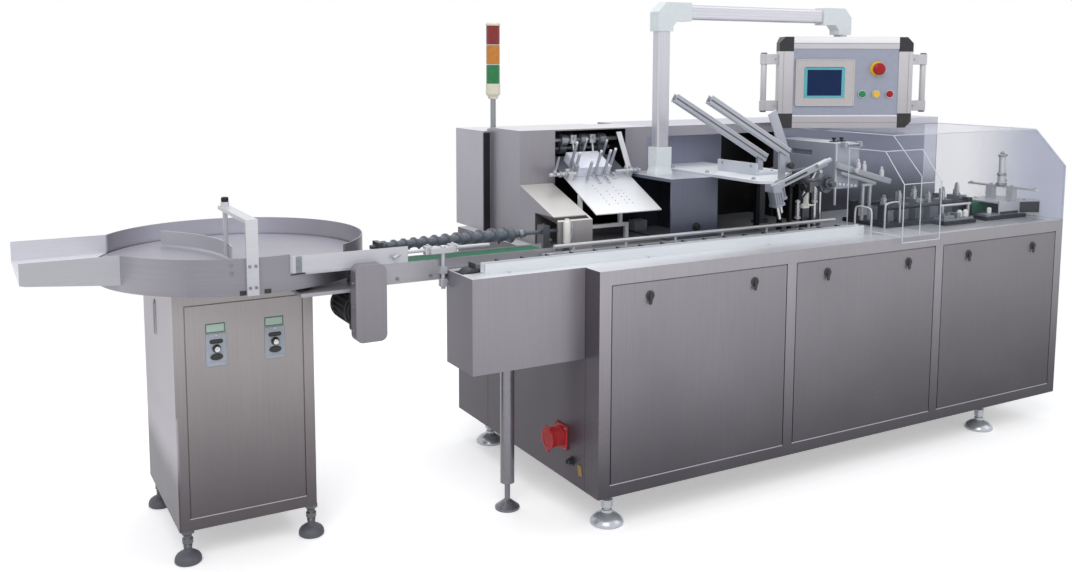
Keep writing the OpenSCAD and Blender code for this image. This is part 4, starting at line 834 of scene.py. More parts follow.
MACHINE_FEET = [(x, y) for x in (92.0, 2020.0) for y in (85.0, 965.0)]
STAND_FEET = [(x, y) for x in (-1222.0, -822.0) for y in (493.0, 977.0)]
STEM_R, THREAD_DEPTH = 13.05, 1.2
BELL = [(54, 0), (58, 3), (58, 9), (56.5, 13), (51, 21), (42, 29), (31, 35), (22, 38.5), (19, 42), (18, 50),
        (13, 52), (13, 130)]
DOME = [(38, 0), (42, 4), (42, 11), (40.5, 18), (36, 25), (28, 31), (19, 35), (15, 37), (13, 40), (13, 110)]
TALL_NUT = [(19, 0), (21, 2), (21, 28), (19, 30)]
LOCK_NUT = [(20, 0), (22, 2), (22, 14), (20, 16)]
COLLAR = [(15, 0), (17, 1.5), (17, 16), (15, 18)]


def at_feet(feet, profile, z, sides):
    """The same turned shape on the axis of each foot, from the height z."""
    return [turned(profile, (x, y, z), sides=sides) for x, y in feet]


def threaded(steps, length):
    """Profile of a threaded stem: the radius steps out and in again along the length."""
    return [(STEM_R, 0), *[(STEM_R + THREAD_DEPTH * (k % 2), 2.0 * k + 1.0) for k in range(steps)],
            (STEM_R, length)]


def foot_details():
    """Threaded stems, bells with nuts under the machine, and rubber domes with collars under the stand."""
    piece("foot_threads", at_feet(MACHINE_FEET, threaded(25, 52), 56.0, 24), "chrome")
    piece("stand_foot_threads", at_feet(STAND_FEET, threaded(17, 37), 50.0, 24), "foot_dark")
    bells = at_feet(MACHINE_FEET, BELL, 0.0, 48)
    nuts = at_feet(MACHINE_FEET, TALL_NUT, 58.0, 6) + at_feet(MACHINE_FEET, LOCK_NUT, 114.0, 6)
    piece("foot_bells", bells + nuts, "bell", replaces=["machine_feet"])
    domes = at_feet(STAND_FEET, DOME, 0.0, 48)
    piece("stand_foot_domes", domes, "rubber", replaces=["stand_feet"])
    collars = at_feet(STAND_FEET, COLLAR, 62.0, 32) + at_feet(STAND_FEET, LOCK_NUT, 94.0, 6)
    piece("stand_foot_collars", collars, "foot_dark")


def seam_details():
    """Bright lower lips of the doors, a painted highlight; dark seams of the left side; the screws of the
    front rail.
    """
    lips = [slab((lo - 3.5, y, 170.8), (hi + 3.5, y + 5.2, 174.0), axis=0, corner=0.8, bevel=0.3)
            for lo, hi in DOOR_SPANS for y in (0.4, CABINET_W - 5.6)]
    lips.append(slab((-1216.5, 465.4, 145.8), (-843.5, 470.6, 149.4), axis=0, corner=0.8, bevel=0.3))
    piece("door_highlight_lips", lips, "bright")
    seams = [slab((-0.4, y - 1.1, 134.0), (0.3, y + 1.1, 886.0), corner=0.3, bevel=0.1)
             for y in (85.0, 806.0)]
    piece("side_seams", seams, "black")
    screws = [cap_screw((x, 133.0, DECK), UP, 4.0, 3.0) for x in (-260.0, 290.0, 840.0, 1310.0)]
    piece("deck_screws", screws, "bright")


# Turntable feeder


def rim_front(x):
    """Y of the rim's outer face at x, on its operator side."""
    return TABLE_Y - math.sqrt(RIM_R**2 - (x - TABLE_X) ** 2)


RIM_BOLT_X, NOTCH_XS = -1104.5, (-1083.0, -1011.0)
BRIDGE_X = -1047.0
GRIP_X, GRIP_Y, GRIP_Z = -1251.0, 777.0, 733.0
CONTROL_XS = (-1153.0, -969.0)
CONTROL_Y, CONTROL_Z = 462.0, 629.0


def rim_details():
    """Bolts and notches of the rim, and the knob and the foot bolts of the guide bridge."""
    place = (RIM_BOLT_X, rim_front(RIM_BOLT_X) + 0.6)
    bolts = [cap_screw((*place, z), (-0.235, -0.97, 0), 5.5, 4.0) for z in (949.0, 973.0)]
    piece("rim_bolts", bolts, "machined")
    notches = []
    for x in NOTCH_XS:
        y = rim_front(x + 11.0)
        lo, hi = (x, y - 1.6, PAN_Z + 0.3), (x + 20.0, y + 3.0, PAN_Z + 14.0)
        notches.append(slab(lo, hi, axis=1, corner=1.0, bevel=0.4))
    piece("rim_notches", notches, "black")
    head = turned([(9, 0), (12, 2), (12, 12), (10, 15), (5, 16)], (BRIDGE_X, 617.0, 1124.0), sides=24)
    piece("bridge_knob", [head], "black_rail")
    y = rim_front(-1029.0) - 12.3
    bolts = [cap_screw((BRIDGE_X + d, y, z), FRONT, 4.5, 3.5) for d in (-9.0, 9.0) for z in (905.0, 970.0)]
    piece("bridge_bolts", bolts, "machined")


def grip_details():
    """Grip slot in the stand's left face with a rolled lip round it."""
    slot = slab((-1250.7, 764.0, 676.0), (-1249.6, 790.0, 790.0), axis=0, corner=12.5, bevel=0.3)
    piece("stand_grip_slot", [slot], "black")
    outline = rounded(28, 116, 13.5, 12) + (GRIP_Y, GRIP_Z)
    outline = np.vstack([outline, outline[:1]])
    path = np.column_stack([np.full(len(outline), GRIP_X), outline])
    piece("stand_grip_lip", [carried(disc_outline(2.6, 8), path, RIGHT)], "bright")


def control_details():
    """Two control plates, each with a display, a knob and a rocker, and a bare label in a frame over each."""
    dark, plates, shiny, labels, frames = [], [], [], [], []
    y, z = CONTROL_Y, CONTROL_Z
    back = y + 3.0
    for x in CONTROL_XS:
        middle = x + 32.0
        plates.append(slab((x, y, z), (x + 64.0, back, z + 104.0), axis=1, corner=4.0, bevel=0.8))
        foot = (x + 3.0, y - 1.5, z + 1.5)
        plates.append(slab(foot, (x + 61.0, y + 0.4, z + 13.0), axis=1, corner=2.0, bevel=0.6))
        display = (x + 11.0, y - 1.6, z + 72.0)
        dark.append(slab(display, (x + 53.0, y + 0.4, z + 86.0), axis=1, corner=6.9, bevel=0.6))
        dial = [(13, 0), (13, 3), (11, 4.5), (10.5, 14), (9, 16)]
        dark.append(turned(dial, (middle, y, z + 57.0), FRONT, 30))
        rocker = turned([(1.0, 0), (1.0, 2.5), (0.93, 4.0), (0.75, 4.6), (0.4, 4.0)], (0, 0, 0), FRONT, 36)
        dark.append((rocker[0] * (19.5, 1.0, 10.5) + (middle, y, z + 30.0), rocker[1]))
        shiny.append(turned([(8.5, 0), (8.5, 1.2), (7.0, 2.0)], (middle, y - 15.4, z + 57.0), FRONT, 26))
        shiny += [cap_screw((middle, y + 0.2, z + h), FRONT, 2.6, 1.6) for h in (7.5, 99.0)]
        label = (x + 3.5, back - 1.2, z + 110.0)
        labels.append(slab(label, (x + 57.5, back + 0.2, z + 133.0), axis=1, corner=1.5, bevel=0.3))
        border = (x, back - 0.7, z + 106.5)
        frames.append(slab(border, (x + 61.0, back + 0.2, z + 136.5), axis=1, corner=2.0, bevel=0.3))
    piece("control_plates", plates, "plate", replaces=["speed_controls"])
    piece("control_knobs", dark, "black")
    piece("control_caps", shiny, "chrome")
    piece("control_blanks", labels, "pale_green")
    piece("control_blank_frames", frames, "deep_green")


# Infeed conveyor


SCREW_POCKETS, POCKET_DEPTH = 12.0, 0.34
LAND, POCKET_SHARE = 0.09, 0.82


def timing_screw_surface():
    """Feed screw: radius = envelope(x) less a round pocket that winds with x; both ends close on the shaft.

    The pocket's depth is the height of a circle's arc across each pitch, with a narrow land between pockets.
    Its phase shifts by one pitch a turn, so the ridges run as a helix, and the pitch widens to the right.
    """
    rows, sides = 330, 44
    u = np.linspace(0.0, 1.0, rows)[:, None]
    a = np.linspace(0.0, 2.0 * np.pi, sides, endpoint=False)[None, :]
    envelope = 17.0 + 14.0 * u**0.9
    turn = SCREW_POCKETS * (1.22 * u - 0.22 * u**2) - a / (2.0 * np.pi)
    across = np.clip((turn % 1.0 - LAND) / POCKET_SHARE, 0.0, 1.0)
    pocket = np.sqrt(np.clip(1.0 - (2.0 * across - 1.0) ** 2, 0.0, 1.0))
    run_out = np.clip((0.985 - u) / 0.05, 0.0, 1.0)
    run_in = np.clip(u / 0.02, 0.0, 1.0)
    r = envelope * (1.0 - POCKET_DEPTH * pocket * run_out * run_in)
    r = r * np.sqrt(np.clip(1.0 - np.clip((u - 0.955) / 0.055, 0.0, 1.0) ** 2, 0.0, 1.0))
    x = SCREW_X0 + (SCREW_X1 - SCREW_X0) * u + 0.0 * a
    body = np.stack([x, SCREW_Y + r * np.cos(a), SCREW_Z + r * np.sin(a)], -1)
    middle = np.stack([x[[0, -1]], SCREW_Y + 0 * x[[0, -1]], SCREW_Z + 0 * x[[0, -1]]], -1)
    return surface(np.concatenate([middle[:1], body, middle[1:]]))


def on_screw(profile, x, sides, loop=False):
    """Profile turned about the feed screw's axis from x."""
    return turned(profile, (x, SCREW_Y, SCREW_Z), RIGHT, sides, loop)


def screw_details():
    """Feed screw with its shaft, and the clamping collar on it."""
    shaft = [on_screw([(7, 0), (7, 41)], -625.0, 24),
             on_screw([(7, 0), (12, 1), (12, 46), (10, 47), (7, 47), (7, 250)], -89.0, 24)]
    piece("feed_screw", [timing_screw_surface(), *shaft], "screw", "screw", ["timing_screw"],
          sharp=28.0)
    collar = on_screw([(13, 0), (16, 1), (16, 14), (13, 15)], -70.0, 28)
    screw = cap_screw((-63.0, SCREW_Y, SCREW_Z + 15.5), UP, 4, 5)
    piece("screw_collar", [collar, screw], "machined", "screw")


BED_FRONT, BED_BACK, BED_BOLT_Z = 288.0, 388.0, 884.0
GUIDE_Y, GUIDE_Z = 300.0, 966.0
POST_X, POST_Y = -430.0, 276.0


def conveyor_details():
    """Hinge strap, clamps, bent end and post of the guide rails, and the bolts of bed and drive cover."""
    hinge = [slab((-914.0, 285.0, 936.0), (-896.0, BED_FRONT, 986.0), axis=1, corner=2.0),
             *[nut((-905.0, 285.2, z), FRONT, 5.5, 4.0) for z in (952.0, 972.0)]]
    piece("guide_strap", hinge, "machined")
    y, z = GUIDE_Y, GUIDE_Z
    bent = wire([(-548.0, y, z), (-566.0, y - 3.0, z - 1.5), (-586.0, y - 16.0, z - 6.0),
                 (-606.0, y - 30.0, z - 11.0)], 6.0)
    clamps = [slab((lo, y - 13.0, z - 14.0), (hi, y + 13.0, z + 14.0), corner=3.0, bevel=1.5)
              for lo, hi in ((-486.0, -462.0), (-400.0, -372.0))]
    clamps.append(slab((-442.0, 266.0, 846.0), (-418.0, 287.6, 872.0), corner=3.0, bevel=1.5))
    tips = [cap_screw((x, y, z + 14.0), UP, 5, 5) for x in (-474.0, -386.0)]
    tips += [turned([(7, 0), (9, 1), (9, 9), (6, 11)], (POST_X, POST_Y, 971.0), sides=24),
             turned([(6, 0), (8, 1), (8, 8), (5, 10)], (-418.0, POST_Y, 859.0), RIGHT, 20)]
    post = rod((POST_X, POST_Y, 838.0), (POST_X, POST_Y, 880.0), 7.0)
    piece("guide_clamps", [bent, *clamps, *tips, post], "bright")
    bolts = [nut((x, BED_FRONT, BED_BOLT_Z), FRONT, 6.0, 4.5) for x in (-585.0, -470.0, -60.0)]
    bolts += [nut((x, BED_BACK, BED_BOLT_Z), BACK, 6.0, 4.5) for x in (-585.0, -330.0, -60.0)]
    bolts += [cap_screw((-742.0, 264.0, h), LEFT, 4.0, 3.0) for h in (740.0, 815.0, 890.0)]
    bolts += [cap_screw((-640.0, 264.0, h), RIGHT, 4.0, 3.0) for h in (740.0, 815.0)]
    piece("conveyor_bolts", bolts, "machined")


MOTOR_X, MOTOR_Z = -695.0, 786.0
FIN_R, FIN_T, FIN_COUNT = 54.0, 2.2, 20


def on_motor(profile, y):
    """Profile turned about the motor's axis from y."""
    return turned(profile, (MOTOR_X, y, MOTOR_Z), BACK, 40)


def motor_details():
    """Cooling fins, end cap and terminal box of the drive motor, its case, and the shelf that carries it."""
    fins = []
    for t in np.linspace(0.0, 2.0 * np.pi, FIN_COUNT, endpoint=False):
        x, z = MOTOR_X + FIN_R * math.cos(t), MOTOR_Z + FIN_R * math.sin(t)
        fins.append(slab((x - FIN_T, 338.0, z - FIN_T), (x + FIN_T, 452.0, z + FIN_T), axis=1, corner=1.5))
    end = on_motor([(52, 0), (56, 2), (56, 14), (50, 19), (20, 20)], 452.0)
    box = slab((-745.0, 372.0, 838.0), (-665.0, 432.0, 855.0), corner=4.0, bevel=2.0)
    piece("motor_fins", [*fins, end, box], "motor")
    case = [on_motor([(46, 0), (48, 2), (48, 138), (46, 140)], 318.0),
            on_motor([(53, 0), (55, 2), (55, 12), (53, 14)], 328.0),
            slab((-735.0, 290.0, 726.0), (-655.0, 330.0, 857.0), axis=1, corner=8.0, bevel=3.0)]
    piece("motor_case", case, "motor", replaces=["drive_motor"])
    shelf = [slab((-900.0, 290.0, 856.0), (-640.0, 465.0, 867.6), corner=2.0, bevel=1.0)]
    shelf += [cap_screw((x, 302.0, 856.2), DOWN, 5.0, 4.0) for x in (-880.0, -650.0)]
    piece("motor_shelf", shelf, "conveyor")


def bearing_details():
    """Cap and screw of the feed screw's right bearing."""
    cap = on_screw([(7.6, 0), (16, 0), (16, 7), (12, 9), (7.6, 9)], 46.0, 28, loop=True)
    screw = cap_screw((33.0, SCREW_Y, 993.0), UP, 5, 5)
    piece("bearing_caps", [cap, screw], "dark_steel")


# Beacon, arm and control panel


BEACON_X, BEACON_Y, BEACON_Z = 101.0, 952.0, 1438.0
LENS_Z, LENS_H, LENS_STEP, LENS_R = BEACON_Z + 52.0, 74.0, 78.0, 27.0
FLUTE_COUNT, FLUTE_DEPTH = 30, 0.7


def fluted_lens(z0, z1, r):
    """Lens drum: radius = r less a small depth at each upright flute, with small rounded ends."""
    sides = 180
    a = np.linspace(0.0, 2.0 * np.pi, sides, endpoint=False)[None, :]
    inset = np.array([r, 2.0, 0.4, 0.0, 0.0, 0.4, 2.0, r])[:, None]
    height = np.array([z0, z0, z0 + 0.6, z0 + 2.0, z1 - 2.0, z1 - 0.6, z1, z1])[:, None]
    flute = FLUTE_DEPTH * np.abs(np.sin(FLUTE_COUNT / 2 * a)) * (inset == 0.0)
    radius = r - inset - flute
    x, y = BEACON_X + radius * np.cos(a), BEACON_Y + radius * np.sin(a)
    return surface(np.stack([x, y, height + 0.0 * a], -1))


def on_beacon(profile, z):
    """Profile turned about the beacon's axis from the height z."""
    return turned(profile, (BEACON_X, BEACON_Y, z))


def beacon_details():
    """Fluted lenses in place of the plain drums, bright rings between them, beads and a neck at the base."""
    z = LENS_Z
    for name, node, slot in (("fluted_green", "beacon_green", "lens_green"),
                             ("fluted_amber", "beacon_amber", "lens_amber"),
                             ("fluted_red", "beacon_red", "lens_red")):
        finish = slot.split("_")[1] + "_lens"
        piece(name, [fluted_lens(z, z + LENS_H, LENS_R)], finish, replaces=[node])
        z += LENS_STEP
    band = [(24, 0), (26.5, 0.3), (26.5, 3.7), (24, 4)]
    rings = [on_beacon(band, LENS_Z + LENS_H + LENS_STEP * k) for k in range(2)]
    seat = on_beacon([(27.5, 0), (28.6, 0.5), (28.6, 3.5), (27.5, 4)], LENS_Z - 3.5)
    piece("beacon_rings", [*rings, seat], "chrome")
    bead = [(29.0, 0), (29.8, 0.8), (29.8, 2.2), (29.0, 3)]
    beads = [on_beacon(bead, BEACON_Z + h) for h in (14.0, 44.0)]
    neck = on_beacon([(15, 0), (20, 3), (21, 10)], BEACON_Z - 10.0)
    piece("beacon_beads", [*beads, neck], "cream")


ARM_W, ARM_T, BEAM_Z = 58.0, 44.0, 1772.0
RIB_HALF, RIB_LIFT = 1.2, 0.7
POST_LOW, POST_HIGH = 1250.0, 1690.0
BEAM_LEFT, BEAM_RIGHT = 758.0, 1452.0
FLARE_Z = 1137.0


def arm_details():
    """Raised long ribs on the faces of the arm's tubes, and the flare at the foot of its post."""
    ribs = []
    for s in (-1, 1):
        y, x = ARM_Y + s * ARM_T / 2, ARM_X + s * ARM_W / 2
        for d in (-17.0, -7.0, 7.0, 17.0):
            lo = (ARM_X + d - RIB_HALF, y - RIB_LIFT, POST_LOW)
            hi = (ARM_X + d + RIB_HALF, y + RIB_LIFT, POST_HIGH)
            ribs.append(slab(lo, hi, corner=0.5, bevel=0.2))
            lo = (BEAM_LEFT, y - RIB_LIFT, BEAM_Z + d - RIB_HALF)
            hi = (BEAM_RIGHT, y + RIB_LIFT, BEAM_Z + d + RIB_HALF)
            ribs.append(slab(lo, hi, axis=0, corner=0.5, bevel=0.2))
        for d in (-9.0, 9.0):
            lo = (x - RIB_LIFT, ARM_Y + d - RIB_HALF, POST_LOW)
            hi = (x + RIB_LIFT, ARM_Y + d + RIB_HALF, POST_HIGH)
            ribs.append(slab(lo, hi, corner=0.5, bevel=0.2))
    piece("tube_ribs", ribs, "aluminium")
    size = np.array([(0.1, 0.1), (82.0, 64.0), (82.0, 64.0), (79.0, 61.0), (72.4, 56.4), (72.4, 56.4),
                     (0.1, 0.1)])
    rings = np.stack([rounded(w, t, min(4.0, 0.4 * t), 4) for w, t in size])
    height = np.array([0.0, 0.0, 9.0, 13.0, 30.0, 37.0, 37.0])[:, None] + 0.0 * rings[..., 0]
    flare = np.stack([ARM_X + rings[..., 0], ARM_Y + rings[..., 1], FLARE_Z + height], -1)
    piece("arm_foot_flare", [surface(flare)], "arm_paint")


PANEL_FACE = -82.0
BUTTON_XS, BUTTON_Z = (72.8, 133.0, 193.2), -49.0
BUTTON_CAP = [(14.2, 6.5), (14.2, 11.0), (13.4, 12.6), (11.0, 13.2), (4.0, 12.7)]
BUTTON_COLLAR = [(19.4, 0), (19.4, 4), (17.6, 6.8), (15.0, 6.8), (14.3, 5.0)]
STOP = (137.0, PANEL_FACE, 58.0)
STOP_HEAD = [(12.0, 6), (12.0, 16), (23.5, 18), (26.0, 21), (26.0, 26), (24.0, 31), (19.0, 33.5),
             (10.0, 34.5)]
PROFILE_HALF = 230.0
HANDLE_X, HANDLE_Y = 351.0, -55.0


def panel_band(outer, inner, x, z):
    """Low frame about (x, z) on the bezel: rings from the outer outline to the inner, each with its lift."""
    mix = np.array([0.0, 0.0, 0.06, 1.0, 1.0])[:, None, None]
    lift = np.array([0.6, -1.3, -1.7, -0.9, 0.6])[:, None]
    rings = outer * (1.0 - mix) + inner * mix
    grid = np.stack([rings[..., 0] + x, PANEL_FACE - 8.0 + lift + 0.0 * rings[..., 0], rings[..., 1] + z], -1)
    return surface(np.concatenate([grid, grid[:1]]))


def screen_details():
    """Turquoise frame round the screen and the lip of its bezel."""
    band = panel_band(rounded(178.0, 130.0, 3.0, 6), rounded(150.0, 110.0, 2.0, 6), -96.0, -1.0)
    piece("screen_frame", on_panel([band]), "turquoise", "panel")
    lip = panel_band(rounded(258.0, 200.0, 7.0, 6), rounded(246.0, 188.0, 5.0, 6), -93.0, 0.0)
    piece("bezel_lip", on_panel([lip]), "bezel", "panel")


def button_details():
    """Caps and collars of the push buttons, and the ring and the head of the stop button."""
    caps = (("start_cap", "green"), ("set_cap", "yellow"), ("halt_cap", "stop_red"))
    for (name, finish), x in zip(caps, BUTTON_XS):
        cap = turned(BUTTON_CAP, (x, PANEL_FACE, BUTTON_Z), FRONT, 32)
        piece(name, on_panel([cap]), finish, "panel")
    collars = [turned(BUTTON_COLLAR, (x, PANEL_FACE, BUTTON_Z), FRONT, 36) for x in BUTTON_XS]
    piece("button_rings", on_panel(collars), "chrome", "panel")
    base = turned([(31.5, 0), (31.5, 3), (29.5, 6), (22, 6.4)], STOP, FRONT, 44)
    piece("stop_ring", on_panel([base]), "yellow", "panel")
    head = turned(STOP_HEAD, STOP, FRONT, 44)
    piece("stop_head", on_panel([head]), "stop_red", "panel", ["stop_button"])


def profile_details():
    """Grooves of painted shade, bands of painted highlight on the panel's profiles, screws of its plate and
    handles.
    """
    # Painted shade: dark strips in the profiles' grooves.
    grooves = [slab((-PROFILE_HALF, -85.6, z - 0.8), (PROFILE_HALF, -84.4, z + 0.8), 0, 0.4, 0.1)
               for z in (-171.0, 166.0)]
    grooves += [slab((x - 0.8, -85.6, -130.0), (x + 0.8, -84.4, 130.0), corner=0.4, bevel=0.1)
                for x in (-274.0, 274.0)]
    piece("profile_grooves", on_panel(grooves), "panel_shade", "panel")
    screws = [cap_screw((x, PANEL_FACE - 0.2, z), FRONT, 3.4, 2.2) for x in (-218.0, 218.0)
              for z in (-128.0, 128.0)]
    screws += [cap_screw((s * 305.0, -71.8, e * 99.0), FRONT, 4.0, 3.0) for s in (-1, 1) for e in (-1, 1)]
    piece("panel_screws", on_panel(screws), "machined", "panel")
    # Painted highlight: bright bands where light falls on the profiles' bevels.
    highlight_bands = [slab((-PROFILE_HALF, -85.8, z0), (PROFILE_HALF, -84.4, z1), axis=0, corner=0.6, bevel=0.2)
              for z0, z1 in ((168.0, 193.0), (-145.0, -139.0))]
    piece("profile_highlight_bands", on_panel(highlight_bands), "panel_highlight", "panel")


def handle_details():
    """Brackets, tube bars and end caps of the two handles."""
    brackets, bars, caps = [], [], []
    for s in (-1, 1):
        grip = np.array((s * HANDLE_X, HANDLE_Y, 0.0))
        for z in (-121.0, 77.0):
            brackets.append(slab((s * 292.6, -72.0, z), (s * 344.0, -38.0, z + 44.0), corner=2.5, bevel=1.5))
            lo, hi = (s * 318.0, -73.6, z + 1.0), (s * 348.0, -36.4, z + 43.0)
            brackets.append(slab(lo, hi, corner=2.5, bevel=1.5))
            sleeve = [(14.6, 0), (16.0, 1.5), (16.0, 42.5), (14.6, 44)]
            brackets.append(turned(sleeve, grip + (0, 0, z), sides=32))
        bars.append(turned([(12.0, -125.0), (12.6, -124.0), (12.6, 124.0), (12.0, 125.0)], grip, sides=32))
        cap = [(13.2, 0), (13.2, 4.0), (10.5, 6.0)]
        caps += [turned(cap, grip + (0, 0, e * 121.0), (0, 0, e), 32) for e in (-1, 1)]
    piece("handle_brackets", on_panel(brackets), "handle", "panel", ["panel_handles"])
    piece("handle_bars", on_panel(bars), "panel_frame", "panel")
    piece("handle_caps", on_panel(caps), "dark_steel", "panel")


# Guards


EDGE, EDGE_LEAN = 3.4, (0.31, 0.17, 0.93)
GUARD_LEFT, GUARD_RIGHT = 1497.5, 2397.5
GUARD_SIDE = ((2.5, 902.0), (2.5, 1135.0), (150.0, 1285.5), (678.0, 1285.5))
LIFT_LEFT, LIFT_RIGHT = 1372.5, 1582.5
LIFT_SIDE = ((-22.5, 884.0), (-22.5, 1112.0), (75.0, 1231.5), (262.0, 1231.5))


def edge_strip(path):
    """Bright sawn pane edge, partly painted highlight: a slim square bar carried along straight runs between
    points.
    """
    p = np.asarray(path, float)
    outline = rounded(EDGE, EDGE, 0.8, 2)
    return [carried(outline, np.stack([a, b]), EDGE_LEAN) for a, b in zip(p[:-1], p[1:])]


def at_x(x, points):
    """Points of (y, z) set at x."""
    return [(x, y, z) for y, z in points]


def guard_details():
    """Bright edges of the clear guards: ends and fold of the fixed one, sides and runs of the lifting one."""
    # The edges' brightness is partly a painted highlight.
    ends = [at_x(x, GUARD_SIDE) for x in (GUARD_RIGHT, GUARD_LEFT)]
    fold = [(x, *GUARD_SIDE[2]) for x in (GUARD_LEFT, GUARD_RIGHT)]
    shapes = [s for p in (*ends, fold) for s in edge_strip(p)]
    piece("end_guard_edges", shapes, "pane_edge")
    sides = [at_x(LIFT_LEFT, LIFT_SIDE), at_x(LIFT_RIGHT, (*LIFT_SIDE[:3], (83.0, 1231.5)))]
    runs = [[(LIFT_LEFT, y, z), (LIFT_RIGHT, y, z)] for y, z in LIFT_SIDE[:3]]
    inner = at_x(LIFT_LEFT, (LIFT_SIDE[3], (262.0, 908.0), (-4.0, 908.0)))
    shapes = [s for p in (*sides, *runs, inner) for s in edge_strip(p)]
    piece("lifting_guard_edges", shapes, "pane_edge", "guard")


# Leaflet station and deck


PINS = np.array([(73, 211, 100), (128, 246, 120), (171, 246, 120), (212, 272, 110), (44, 298, 130),
                 (46, 264, 104), (147, 384, 92), (236, 372, 90)], float)


SHEET_COUNT, SHEET_STEP = 14, 2.855
SHAFT_Y = 247.0
FEED_CUP = [(5, 0), (5, 5), (12, 10), (8, 14), (14, 19), (9, 23), (15, 28)]


def leaflet_details():
    """Pile of separate leaflets, and the sleeves, caps, slots and collars of the table's pins and shafts."""
    k = np.arange(SHEET_COUNT)
    shift = 1.4 * np.stack([np.sin(2.1 * k), np.cos(3.7 * k)], -1)
    sheets = []
    for i, (dx, dy) in zip(k, shift):
        lo = (58.0 + dx, 256.0 + dy, 4.05 + SHEET_STEP * i)
        hi = (204.0 + dx, 372.0 + dy, 6.6 + SHEET_STEP * i)
        sheets.append(slab(lo, hi, corner=1.2, bevel=0.3))
    piece("leaflet_pile", on_leaflet_table(sheets), "paper", replaces=["leaflet_stack"])
    sleeves = [turned([(4.1, 0), (5.8, 0.6), (5.8, h - 20.0), (4.1, h - 18.0)], (x, y, 16.0), sides=18)
               for x, y, h in PINS]
    piece("pin_sleeves", on_leaflet_table(sleeves), "machined")
    caps = [turned([(4.1, 0), (5.2, 1), (5.2, 5), (3.4, 7)], (x, y, h - 1.5), sides=18) for x, y, h in PINS]
    piece("pin_caps", on_leaflet_table(caps), "arm_paint")
    slots = [slab((x - 2.2, y - 42.0, 10.6), (x + 2.2, y - 10.0, 11.3), corner=2.0, bevel=0.2)
             for x, y, _ in PINS[1:4]]
    piece("strip_slots", on_leaflet_table(slots), "black")
    collars = [ring((x, SHAFT_Y, 24.0), RIGHT, 7.03, 12.0, 10.0) for x in (-34.0, -12.0, 298.0, 318.0)]
    collars.append(ring((46.0, 264.0, 45.0), UP, 4.03, 9.0, 9.0))
    spike = turned([(9, 0), (9, 10), (5, 16), (4.2, 66), (2.5, 74)], (-55.0, SHAFT_Y, 28.0), sides=20)
    knobs = [cap_screw((x, SHAFT_Y, 36.0), UP, 6.0, 6.0) for x in (11.0, 284.0)]
    piece("shaft_collars", on_leaflet_table([*collars, spike, *knobs]), "machined")


def feed_head_details():
    """Blade beside the sloping table, and the suction heads with their cups over it."""
    blade = bar((527.0, 604.0, 1158.0), (521.0, 672.0, 1300.0), 24.0, 3.0, (0.0, -0.9, 0.4))
    piece("side_blade", [blade], "bright")
    heads, stems, cups = [], [], []
    for x in (350.0, 440.0):
        heads.append(slab((x - 14.0, 734.0, 1254.0), (x + 14.0, 766.0, 1290.0), corner=3.0, bevel=1.5))
        heads.append(cap_screw((x, 733.8, 1276.0), FRONT, 6.0, 5.0))
        stems.append(rod((x, 742.0, 1256.0), (x, 730.0, 1206.0), 5.0))
        cups.append(turned(FEED_CUP, (x, 730.5, 1208.0), (0, -0.23, -0.97), 24))
    piece("feed_heads", [*heads, *stems], "bright")
    piece("feed_cups", cups, "black")


CUP_X, CUP_Y = 101.0, 374.0


def deck_details():
    """Oil cup with its bail before the chute, a stay rod, and the knob and terminal box of the pedestal."""
    foot = turned([(15, 0), (15, 5), (9, 8), (9, 22), (13, 25), (13, 30)], (CUP_X, CUP_Y, DECK), sides=28)
    piece("oil_cup_foot", [foot], "dark_steel")
    flask = [(12, 0), (13.2, 2), (13.2, 74), (11, 80), (8, 83), (8, 88)]
    cup = turned(flask, (CUP_X, CUP_Y, DECK + 30.0), sides=28)
    piece("oil_cup", [cup], "white")
    bend = ((114.0, 936.0), (122.0, 962.0), (121.0, 1000.0), (109.0, 1015.0))
    bail = wire([(x, CUP_Y, z) for x, z in bend], 1.8)
    stay = rod((46.0, 438.0, 925.0), (78.0, 447.0, 934.0), 5.5)
    piece("oil_cup_bail", [bail, stay], "bright")
    dial = turned([(17, 0), (17, 3), (13, 5), (13, 13), (10, 15)], (673.0, 360.0, 948.0), FRONT, 30)
    piece("pedestal_knob", [dial], "black_rail")
    box = slab((562.0, 606.0, 906.0), (620.0, 660.0, 946.0), corner=3.0, bevel=2.0)
    lid = [cap_screw((x, 605.8, z), FRONT, 3.0, 2.0) for x in (568.0, 614.0) for z in (912.0, 940.0)]
    piece("terminal_box", [box, *lid], "plate")


# Carton magazine


STOP_BAR = [(990.0, 1384.0), (1022.0, 1316.0), (1050.0, 1252.0), (1066.0, 1200.0), (1080.0, 1147.0)]
RAIL_SLOPE = math.radians(28.5)
CYLINDERS = (((893.0, 176.0, 1112.0), (912.0, 176.0, 1040.0)),
             ((946.0, 218.0, 1116.0), (961.0, 218.0, 1056.0)))


